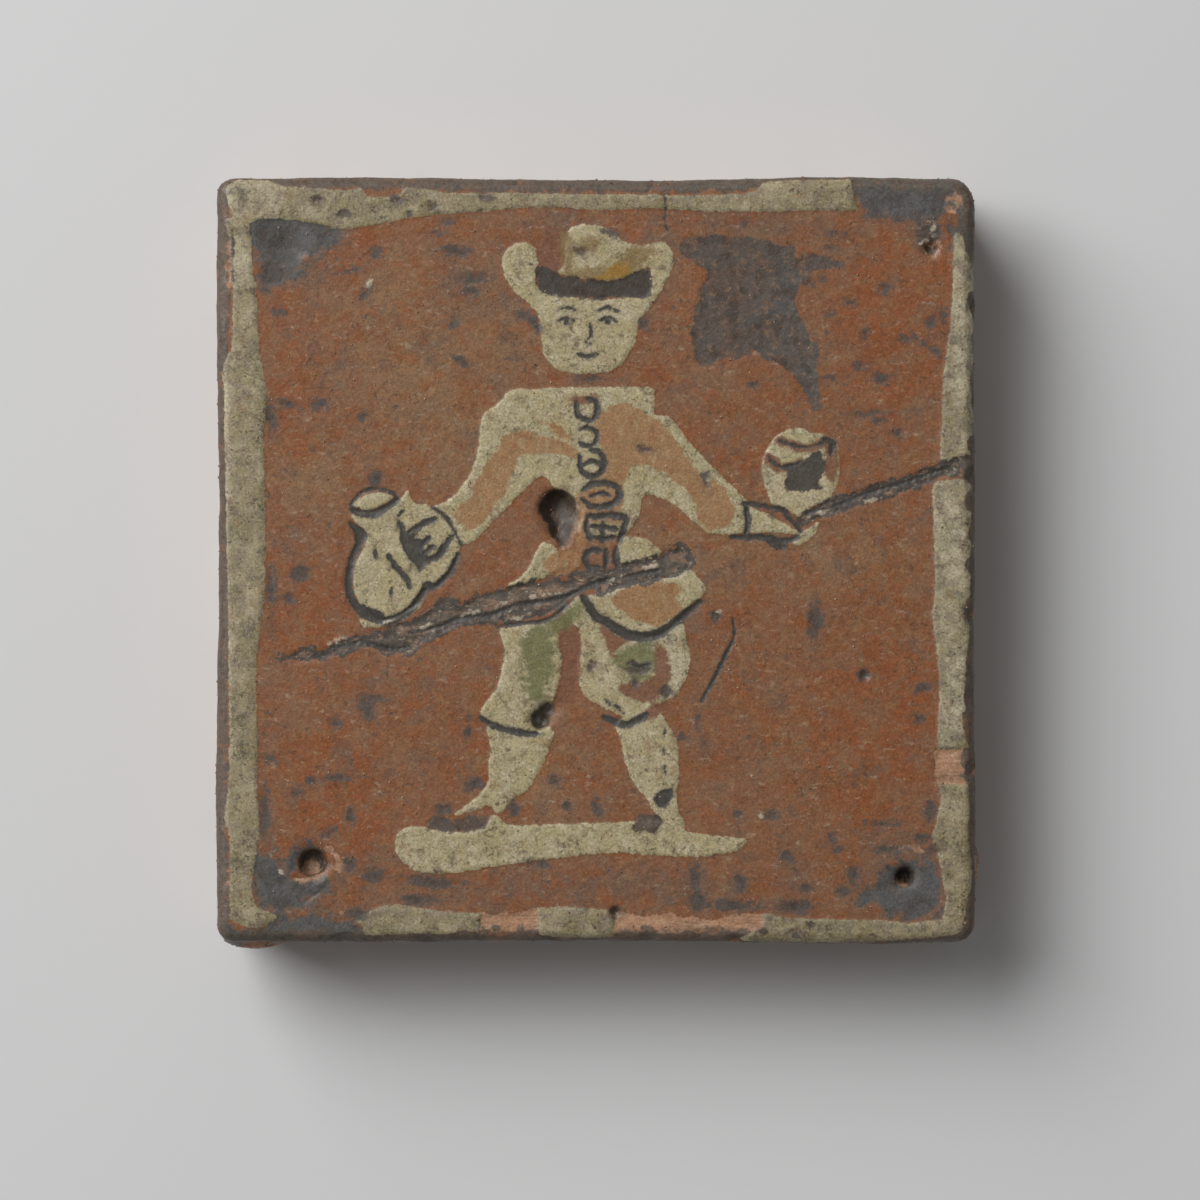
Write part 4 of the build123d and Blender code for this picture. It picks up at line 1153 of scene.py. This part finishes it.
def lead_glazed_slipware(colours):
    """Red earthenware, trailed with white slip, painted, lead glazed and fired once, then worn.

    The clay is grainy and shows through a thin uneven glaze: redder where it is thin, olive where it
    is thick, grey where smoke reached it. Slip is cream, crazed, and dirty in its pits. The sides are
    raw clay with glaze runs and some old lime. Real clay grain is 0.1 to 0.2 mm and real crazing is
    0.02 mm wide. Both are drawn coarser, at 0.4 mm and 0.09 mm, so that they show."""
    material, tree, shader = new_material("lead_glazed_slipware")
    tone = {name: tuple(getattr(colours, name)) for name in colours.__annotations__}

    def patched(colour, *patches):
        """Lays patches: tone, coordinates, size in mm, noise levels, detail, strength, and what limits it."""
        for name, at, size, low, high, detail, strength, *also in patches:
            spread = mottle(tree, at, size, low, high, detail, strength)
            colour = lay(tree, colour, tone[name], spread, *also)
        return colour

    def coated(colour, *coats):
        """Lays coats: tone or colour, coat, noise, then raggedness, softness and growth in mm, and strength."""
        for over, *how in coats:
            over = tone[over] if isinstance(over, str) else over
            colour = lay(tree, colour, over, cover(tree, *how))
        return colour

    # Coordinates: as they are, swayed a little, drawn out across, up and down, down the sides, and by a comb
    still = add(tree, "ShaderNodeTexCoord")["Object"]
    sway = add(tree, "ShaderNodeTexNoise", {"Vector": still, "Scale": per_mm(1.3), "Detail": 2.0})["Color"]
    sway = add(tree, "ShaderNodeVectorMath", {0: sway, 1: (0.5, 0.5, 0.5)}, operation="SUBTRACT")[0]
    place = add(tree, "ShaderNodeVectorMath", {0: sway, 1: (1.1 * MM,) * 3, 2: still},
                operation="MULTIPLY_ADD")[0]
    level, upright, hanging, combed = (
        add(tree, "ShaderNodeMapping", {"Vector": start, "Scale": scale})["Vector"] for start, scale in
        ((place, (0.4, 1, 1)), (place, (1.6, 0.4, 1)), (place, (1, 1, 0.2)), (still, (0.07, 1, 1))))
    # Noise that several layers share
    broad = mottle(tree, place, 15, 0.3, 0.7)
    cloud = mottle(tree, place, 4.2, 0.3, 0.7, 5)
    torn = mottle(tree, place, 1.1, 0.28, 0.72, 4)
    shred = mottle(tree, place, 2.4, 0.3, 0.7, 6)
    grain = mottle(tree, still, 0.4, 0.25, 0.75, 2)
    patches = mottle(tree, place, 5.5, 0.42, 0.62)
    thin_patches = mottle(tree, place, 3.1, 0.4, 0.6)

    # Clay under the glaze, bare clay where both have come off, and glaze pools, which also paint shade on the
    # bottom-left lip and in two nail pricks
    clay = lay(tree, tone["clay"], tone["clay_vivid"], zone(tree, "vivid", broad, 0.85))
    for name in ("olive", "smoky"):
        clay = lay(tree, clay, tone["clay_" + name], zone(tree, name, cloud, 0.7))
    clay = patched(
        clay,
        ("clay_olive", place, 2.4, 0.5, 0.64, 3, 0.45), ("clay_vivid", place, 3.3, 0.5, 0.64, 3, 0.55),
        ("clay_smoky", place, 4.5, 0.54, 0.66, 5, 0.55),
        ("quartz", level, 0.8, 0.57, 0.68, 3, 0.28, thin_patches), ("quartz", place, 0.5, 0.63, 0.72, 3, 0.35),
        ("soot", place, 0.8, 0.56, 0.64, 3, 0.5, patches), ("blemish", place, 2.0, 0.65, 0.7, 5, 0.8))
    bare = patched(
        lay(tree, tone["bare"], tone["clay"], shred, 0.3), ("clay_smoky", combed, 0.8, 0.5, 0.62, 3, 0.42),
        ("slip_light", level, 1.3, 0.55, 0.68, 4, 0.4), ("soot", level, 1.5, 0.6, 0.7, 5, 0.3))
    pool = patched(
        tone["pool"], ("soot", place, 1.2, 0.52, 0.66, 3, 0.35), ("line", place, 3.6, 0.45, 0.62, 5, 0.6),
        ("clay_smoky", place, 2.3, 0.56, 0.66, 5, 0.3))
    colour = coated(
        clay, (bare, "bare", shred, 0.5, 0.12, 0, 0.9), ("clay_smoky", "pool", shred, 1.6, 0.9, 0.9, 0.6),
        (pool, "pool", shred, 1.5, 0.8, 0.2, 0.95))

    # Slip: thick cream in the figure, worn and dirty in the border, crazed and pitted everywhere
    slip = lay(tree, tone["slip"], tone["slip_deep"], patches, 0.8)
    slip = lay(tree, slip, tone["cream"], cover(tree, "figure", torn, 0.2, full=0.85))
    slip = patched(slip, ("slip_light", place, 2.2, 0.5, 0.64, 5, 0.5))
    # Pale worn slip, with painted highlight along the left edge and the top-left corner, which face the light
    slip = lay(tree, slip, tone["slip_light"], zone(tree, "chalky", cloud, 0.8))
    slip = patched(slip, ("clay_olive", place, 2.6, 0.57, 0.68, 5, 0.5))
    dirt = lay(tree, tone["line"], tone["clay_smoky"], cloud)
    slip = lay(tree, slip, dirt, mottle(tree, place, 2.0, 0.55, 0.67, 5, 0.55))
    slip = lay(tree, slip, dirt, cover(tree, "border", torn, 0.2), mottle(tree, place, 2.2, 0.48, 0.62, 5, 0.55))
    slip = lay(tree, slip, tone["soot"], crazing(tree, place, 1.3, 0.09), thin_patches, 0.45)
    slip = patched(
        slip, ("soot", place, 0.7, 0.54, 0.64, 3, 0.5, patches), ("soot", place, 1.15, 0.63, 0.68, 3, 0.6),
        ("slip_light", place, 0.62, 0.58, 0.7, 3, 0.5))
    slip_cover = cover(tree, "slip", torn, 0.16)
    colour = lay(tree, colour, slip, slip_cover)

    # Painted glazes and sunk blemishes
    wash = patched(
        tone["wash"], ("clay_vivid", place, 2.8, 0.5, 0.66, 5, 0.4),
        ("cream", upright, 1.7, 0.54, 0.66, 4, 0.35))
    green = patched(
        tone["green"], ("line", place, 2.2, 0.5, 0.66, 5, 0.4), ("slip", place, 1.4, 0.54, 0.66, 4, 0.4))
    colour = coated(
        colour,
        (wash, "wash", shred, 0.5, 0.3, 0, 0.88), (green, "green", shred, 1.2, 0.9, 0.3, 0.9),
        ("umber", "umber", shred, 0.5, 0.4, 0.3, 0.92), ("ochre", "ochre", shred, 0.7, 0.6, 0, 0.8),
        ("amber", "amber", shred, 0.5, 0.5, 0, 0.9), ("clay_smoky", "blemish", shred, 0.8, 0.9, 0.2, 0.5),
        ("blemish", "blemish", torn, 0.7, 0.35, 0, 0.85))
    sunk = cover(tree, "blemish", shred, 0.8, 0.3, -0.5)
    colour = patched(colour, ("soot", place, 0.8, 0.45, 0.6, 3, 0.5, sunk))

    # Manganese in the stain, the hat's hollow, the beaker and the shoes
    stain = lay(tree, tone["manganese"], tone["manganese_grey"], patches, 0.9)
    stain = lay(tree, stain, tone["pool"], zone(tree, "dusk", cloud, 0.6))
    stain = patched(
        stain, ("clay", place, 3.6, 0.5, 0.64, 5, 0.35, thin_patches), ("soot", place, 2.0, 0.48, 0.64, 6, 0.55),
        ("clay_olive", place, 1.1, 0.55, 0.68, 4, 0.45))
    thick = patched(tone["line"], ("soot", place, 1.6, 0.48, 0.62, 5, 0.8))
    stain = coated(stain, (thick, "thick", shred, 0.3, 0.3, 0.2, 0.9))
    colour = coated(colour, (stain, "manganese", shred, 0.55, 0.25, 0, 0.95))

    # Sash and staff, flaked to clay and slip inside a thick dark edge, then the incised lines and pale flecks
    flakes = patched(
        tone["rim"], ("bare", level, 2.2, 0.45, 0.62, 5, 0.35), ("line", level, 1.6, 0.48, 0.6, 5, 0.75),
        ("bare", level, 1.2, 0.54, 0.66, 5, 0.5), ("slip_light", level, 0.8, 0.57, 0.66, 4, 0.6))
    thick_edge = lay(tree, tone["line"], tone["blemish"], cloud)
    flakes = lay(tree, thick_edge, flakes, cover(tree, "flaked", shred, 1.3, 0.35, -0.9))
    flakes = patched(flakes, ("soot", level, 1.0, 0.56, 0.66, 5, 0.6))
    line = patched(tone["line"], ("rim", place, 0.9, 0.54, 0.7, 3, 0.5))
    colour = coated(
        colour, (flakes, "flaked", shred, 0.8, 0.2, 0.1, 0.95), ("blemish", "line", torn, 0.3, 0.4, 0.2, 0.4),
        (line, "line", torn, 0.24, 0.18, 0.05, 0.96), ("quartz", "fleck", torn, 0.3, 0.2, 0, 0.75))

    # Dirt and dark glaze on the rim, where there is no slip
    rim = add(tree, "ShaderNodeAttribute", attribute_name="rim")["Fac"]
    rim_edge = add(tree, "ShaderNodeMath", {0: shred, 1: 1.6, 2: rim}, operation="MULTIPLY_ADD")[0]
    rim_cover = add(tree, "ShaderNodeMapRange", {"Value": rim_edge, "From Min": 1.3, "From Max": 0.7})["Result"]
    bare_rim = add(tree, "ShaderNodeMath", {0: 1.0, 1: slip_cover}, operation="SUBTRACT")[0]
    rim_dirt = patched(
        tone["rim"], ("clay_smoky", place, 3.4, 0.48, 0.62, 5, 0.5), ("clay", place, 5.2, 0.58, 0.66, 5, 0.45),
        ("soot", place, 1.4, 0.52, 0.66, 3, 0.5))
    colour = lay(tree, colour, rim_dirt, rim_cover, bare_rim, 0.92)

    # Raw clay and lime down the sides and on the back, below where the glaze ran to
    drop = add(tree, "ShaderNodeAttribute", attribute_name="drop")["Fac"]
    side = patched(
        lay(tree, tone["bare"], tone["clay"], shred, 0.7), ("clay_smoky", place, 8.0, 0.46, 0.6, 5, 0.7),
        ("soot", place, 1.6, 0.56, 0.66, 5, 0.4), ("mortar", place, 7.0, 0.56, 0.61, 8, 0.85),
        ("quartz", place, 0.9, 0.62, 0.7, 3, 0.6))
    runs = mottle(tree, hanging, 6.0, 0.35, 0.75, 4)
    ran = add(tree, "ShaderNodeMath", {0: runs, 1: 15.0, 2: -2.0}, operation="MULTIPLY_ADD")[0]
    ran = add(tree, "ShaderNodeMath", {0: ran, 1: drop}, operation="SUBTRACT")[0]
    ran = add(tree, "ShaderNodeMapRange", {"Value": ran, "From Min": -0.5, "From Max": 0.5})["Result"]
    below = add(tree, "ShaderNodeMapRange", {"Value": drop, "From Min": 0.0, "From Max": 0.8})["Result"]
    colour = lay(tree, colour, lay(tree, side, rim_dirt, ran, 0.92), below)

    # Grey fired clay in the pits, and painted shade, near black, on their steep walls that face away from the
    # light
    pit = add(tree, "ShaderNodeAttribute", attribute_name="pit")["Fac"]
    deep = add(tree, "ShaderNodeMapRange", {"Value": pit, "From Min": 0.2, "From Max": 0.8})["Result"]
    inside = patched(
        tone["core"], ("soot", place, 1.4, 0.5, 0.64, 5, 0.55), ("bare", upright, 1.0, 0.56, 0.68, 5, 0.5))
    inside = coated(
        inside, ("bare", "bare", shred, 0.5, 0.3, 0, 0.6), ("scorch", "scorch", shred, 0.8, 0.5, 0, 0.95))
    colour = lay(tree, colour, inside, deep, 0.92)

    # Grain lightens and darkens everything a little, and the glaze is uneven in gloss and gone from the sides
    light, blotch, gloss = (
        add(tree, "ShaderNodeMapRange", {"Value": value, "From Min": low, "From Max": high, "To Min": least,
                                         "To Max": most})["Result"]
        for value, low, high, least, most in
        ((grain, 0.0, 1.0, 0.77, 1.23), (torn, 0.0, 1.0, 0.9, 1.1), (cloud, 0.1, 0.9, 0.4, 0.64)))
    light = add(tree, "ShaderNodeMath", {0: light, 1: blotch}, operation="MULTIPLY")[0]
    colour = add(tree, "ShaderNodeMix", {"Factor_Float": 1.0, "A_Color": colour, "B_Color": light},
                 data_type="RGBA", blend_type="MULTIPLY")[2]
    dry = add(tree, "ShaderNodeMath", {0: 1.0, 1: ran}, operation="SUBTRACT")[0]
    raw = add(tree, "ShaderNodeMath", {0: below, 1: dry}, operation="MULTIPLY")[0]
    gloss = add(tree, "ShaderNodeMix", {"Factor_Float": raw, "A_Float": gloss, "B_Float": 0.88},
                data_type="FLOAT")[0]
    bumps = add(tree, "ShaderNodeMath", {0: grain, 1: 0.25, 2: torn}, operation="MULTIPLY_ADD")[0]
    bump = add(tree, "ShaderNodeBump", {"Height": bumps, "Distance": 0.045 * MM, "Strength": 0.8})["Normal"]
    tree.links.new(colour, shader.inputs["Base Color"])
    tree.links.new(gloss, shader.inputs["Roughness"])
    tree.links.new(bump, shader.inputs["Normal"])
    shader.inputs["IOR"].default_value = 1.5
    return material


def quartz_sand(colours):
    """Quartz sand and grog fired into the clay: dull pale and brown grains with a thin skin of glaze."""
    material, tree, shader = new_material("quartz_sand")
    place = add(tree, "ShaderNodeTexCoord")["Object"]
    each = add(tree, "ShaderNodeVectorMath", {0: place, 1: (0.6 * MM,) * 3}, operation="SNAP")[0]
    tint = add(tree, "ShaderNodeTexWhiteNoise", {"Vector": each})["Value"]
    pale = add(tree, "ShaderNodeMapRange", {"Value": tint, "From Min": 0.45, "From Max": 0.95})["Result"]
    colour = lay(tree, tuple(colours.clay), tuple(colours.quartz), pale, 0.8)
    tree.links.new(colour, shader.inputs["Base Color"])
    shader.inputs["Roughness"].default_value = 0.6
    return material


def studio_paper(floor):
    """Matt pale background paper, rolled smooth, its tooth drawn coarser than real fibres so that it shows."""
    material, tree, shader = new_material("studio_paper")
    place = add(tree, "ShaderNodeTexCoord")["Object"]
    tooth = add(tree, "ShaderNodeTexNoise", {"Vector": place, "Scale": per_mm(1.5), "Detail": 2.0})["Fac"]
    bump = add(tree, "ShaderNodeBump", {"Height": tooth, "Distance": 0.02 * MM, "Strength": 0.3})["Normal"]
    tree.links.new(bump, shader.inputs["Normal"])
    shader.inputs["Base Color"].default_value = floor
    shader.inputs["Roughness"].default_value = 0.9
    return material


def sand_tree(material):
    """Geometry nodes that scatter grains over a mesh, as thickly as its attribute 'sandy' says."""
    tree = bpy.data.node_groups.new("sand_in_clay", "GeometryNodeTree")
    face = tree.interface
    face.new_socket("Geometry", in_out="INPUT", socket_type="NodeSocketGeometry")
    for name, kind in (("Grain size", "Float"), ("Density", "Float"), ("Seed", "Int")):
        face.new_socket(name, in_out="INPUT", socket_type="NodeSocket" + kind)
    face.new_socket("Geometry", in_out="OUTPUT", socket_type="NodeSocketGeometry")
    given = add(tree, "NodeGroupInput")
    sandy = add(tree, "GeometryNodeInputNamedAttribute", {"Name": "sandy"}, data_type="FLOAT")["Attribute"]
    thick = add(tree, "ShaderNodeMath", {0: sandy, 1: given["Density"]}, operation="MULTIPLY")[0]
    spread = add(tree, "GeometryNodeDistributePointsOnFaces", {
        "Mesh": given["Geometry"], "Density": thick, "Seed": given["Seed"]},
        distribute_method="RANDOM")["Points"]
    grain = add(tree, "GeometryNodeMeshIcoSphere", {"Radius": 0.5, "Subdivisions": 1})["Mesh"]
    turn, size = (
        add(tree, "FunctionNodeRandomValue", {"Min": least, "Max": most, "Seed": given["Seed"]},
            data_type="FLOAT_VECTOR")[0]
        for least, most in (((0, 0, 0), (math.tau,) * 3), ((0.55, 0.55, 0.35), (1.5, 1.3, 0.9))))
    scale = add(tree, "ShaderNodeVectorMath", {0: size, "Scale": given["Grain size"]}, operation="SCALE")[0]
    placed = add(tree, "GeometryNodeInstanceOnPoints", {
        "Points": spread, "Instance": grain, "Rotation": turn, "Scale": scale})["Instances"]
    real = add(tree, "GeometryNodeRealizeInstances", {"Geometry": placed})["Geometry"]
    made = add(tree, "GeometryNodeSetMaterial", {"Geometry": real, "Material": material})["Geometry"]
    add(tree, "NodeGroupOutput", {"Geometry": made})
    return tree


def keep(piece, replaced=()):
    """Links a finished piece to the tile's body."""
    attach(piece, BODY)
    if replaced:
        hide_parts(*replaced)


class SLIPTILE_OT_fire_tile(bpy.types.Operator):
    """Make the fired tile: clay, slip, painted glazes and wear in one closed mesh"""

    bl_idname = "sliptile.fire_tile"
    bl_label = "Fire tile"

    def execute(self, context):
        mesh = build_tile_mesh(context.scene.tile_sizes)
        piece = bpy.data.objects.new("fired_tile", mesh)
        context.scene.collection.objects.link(piece)
        mesh.materials.append(lead_glazed_slipware(context.scene.tile_colours))
        keep(piece, [NODE])
        return {"FINISHED"}


class SLIPTILE_OT_scatter_sand(bpy.types.Operator):
    """Scatter the quartz grains that stand out of the sides, the rim and the worn face"""

    bl_idname = "sliptile.scatter_sand"
    bl_label = "Scatter sand"

    def execute(self, context):
        tile = bpy.data.objects["fired_tile"]
        sizes = context.scene.sand_sizes
        mesh = tile.data.copy()
        slip, drop = np.zeros((2, len(mesh.vertices)), np.float32)
        for name, values in (("slip", slip), ("drop", drop)):
            mesh.attributes[name].data.foreach_get("value", values)
        # Most on the raw sides, some on the face, less under slip, and none on the back
        sandy = np.where(drop > 0, 0.8, 0.18) * (1 - 0.6 * (slip > 0))
        sandy[drop > FACE_Z - 3] = 0
        mesh.attributes.new("sandy", "FLOAT", "POINT").data.foreach_set("value", sandy.astype(np.float32))
        maker = bpy.data.objects.new("sand_maker", mesh)
        context.scene.collection.objects.link(maker)
        change = maker.modifiers.new("sand", "NODES")
        change.node_group = sand_tree(quartz_sand(context.scene.tile_colours))
        sockets = {item.name: item.identifier for item in change.node_group.interface.items_tree
                   if item.in_out == "INPUT"}
        for name, value in (("Grain size", sizes.grain_size), ("Density", sizes.density), ("Seed", sizes.seed)):
            change[sockets[name]] = value
        ready = maker.evaluated_get(context.evaluated_depsgraph_get())
        sand = bpy.data.objects.new("quartz_sand", bpy.data.meshes.new_from_object(ready))
        context.scene.collection.objects.link(sand)
        maker.modifiers.clear()
        bpy.data.objects.remove(maker)
        if not len(sand.data.polygons):
            raise RuntimeError("the sand came out empty")
        keep(sand)
        return {"FINISHED"}


class SLIPTILE_OT_set_stage(bpy.types.Operator):
    """Set the pale floor, the soft light from the upper left and the camera straight above"""

    bl_idname = "sliptile.set_stage"
    bl_label = "Set stage"

    def execute(self, context):
        scene, stage = context.scene, context.scene.stage_settings
        mesh = bpy.data.meshes.new("studio_floor")
        corners = [(x * FLOOR_HALF, y * FLOOR_HALF, 0) for x, y in ((-1, -1), (1, -1), (1, 1), (-1, 1))]
        mesh.from_pydata(corners, [], [(0, 1, 2, 3)])
        mesh.materials.append(studio_paper(stage.floor))
        floor = bpy.data.objects.new("studio_floor", mesh)
        scene.collection.objects.link(floor)

        key = bpy.data.lights.new("soft_key", "AREA")
        key.size, key.energy = stage.key_size, stage.key_power
        lamp = bpy.data.objects.new("soft_key", key)
        lamp.location = Vector(LAMP_PLACE)
        lamp.rotation_euler = (-lamp.location).to_track_quat("-Z", "Y").to_euler()
        scene.collection.objects.link(lamp)

        world = bpy.data.worlds.new("even_fill")
        world.use_nodes = True
        back = world.node_tree.nodes["Background"]
        back.inputs["Color"].default_value = (1, 1, 1, 1)
        back.inputs["Strength"].default_value = stage.fill
        scene.world = world

        lens = bpy.data.cameras.new("camera")
        lens.sensor_width = 36
        lens.lens = lens.sensor_width * stage.camera_height / stage.picture_width
        lens.clip_end = 20
        camera = bpy.data.objects.new("camera", lens)
        camera.location = Vector((*PICTURE_MIDDLE, HIGH.z)) * MM + Vector((0, 0, stage.camera_height))
        scene.collection.objects.link(camera)
        scene.camera = camera
        scene.view_settings.view_transform = "Standard"
        return {"FINISHED"}


class SLIPTILE_PT_tile(bpy.types.Panel):
    """The tile's sizes, colours and steps"""

    bl_idname = "SLIPTILE_PT_tile"
    bl_label = "Slipware tile"
    bl_space_type = "VIEW_3D"
    bl_region_type = "UI"
    bl_category = "Tile"

    def draw(self, context):
        for group, step in (("tile_sizes", "sliptile.fire_tile"), ("sand_sizes", "sliptile.scatter_sand"),
                            ("tile_colours", None), ("stage_settings", "sliptile.set_stage")):
            box = self.layout.box()
            held = getattr(context.scene, group)
            for name in held.bl_rna.properties.keys():
                if name not in ("rna_type", "name"):
                    box.prop(held, name)
            if step:
                box.operator(step)


GROUPS = {
    "tile_sizes": TileSizes, "sand_sizes": SandSizes, "tile_colours": TileColours,
    "stage_settings": StageSettings,
}
CLASSES = (*GROUPS.values(), SLIPTILE_OT_fire_tile, SLIPTILE_OT_scatter_sand, SLIPTILE_OT_set_stage,
           SLIPTILE_PT_tile)


def register():
    for made in CLASSES:
        bpy.utils.register_class(made)
    for name, group in GROUPS.items():
        setattr(bpy.types.Scene, name, PointerProperty(type=group))


def unregister():
    for name in GROUPS:
        delattr(bpy.types.Scene, name)
    for made in reversed(CLASSES):
        bpy.utils.unregister_class(made)


def main():
    register()
    bpy.ops.sliptile.set_stage()
    bpy.ops.sliptile.fire_tile()
    bpy.ops.sliptile.scatter_sand()


if __name__ == "__main__":
    main()
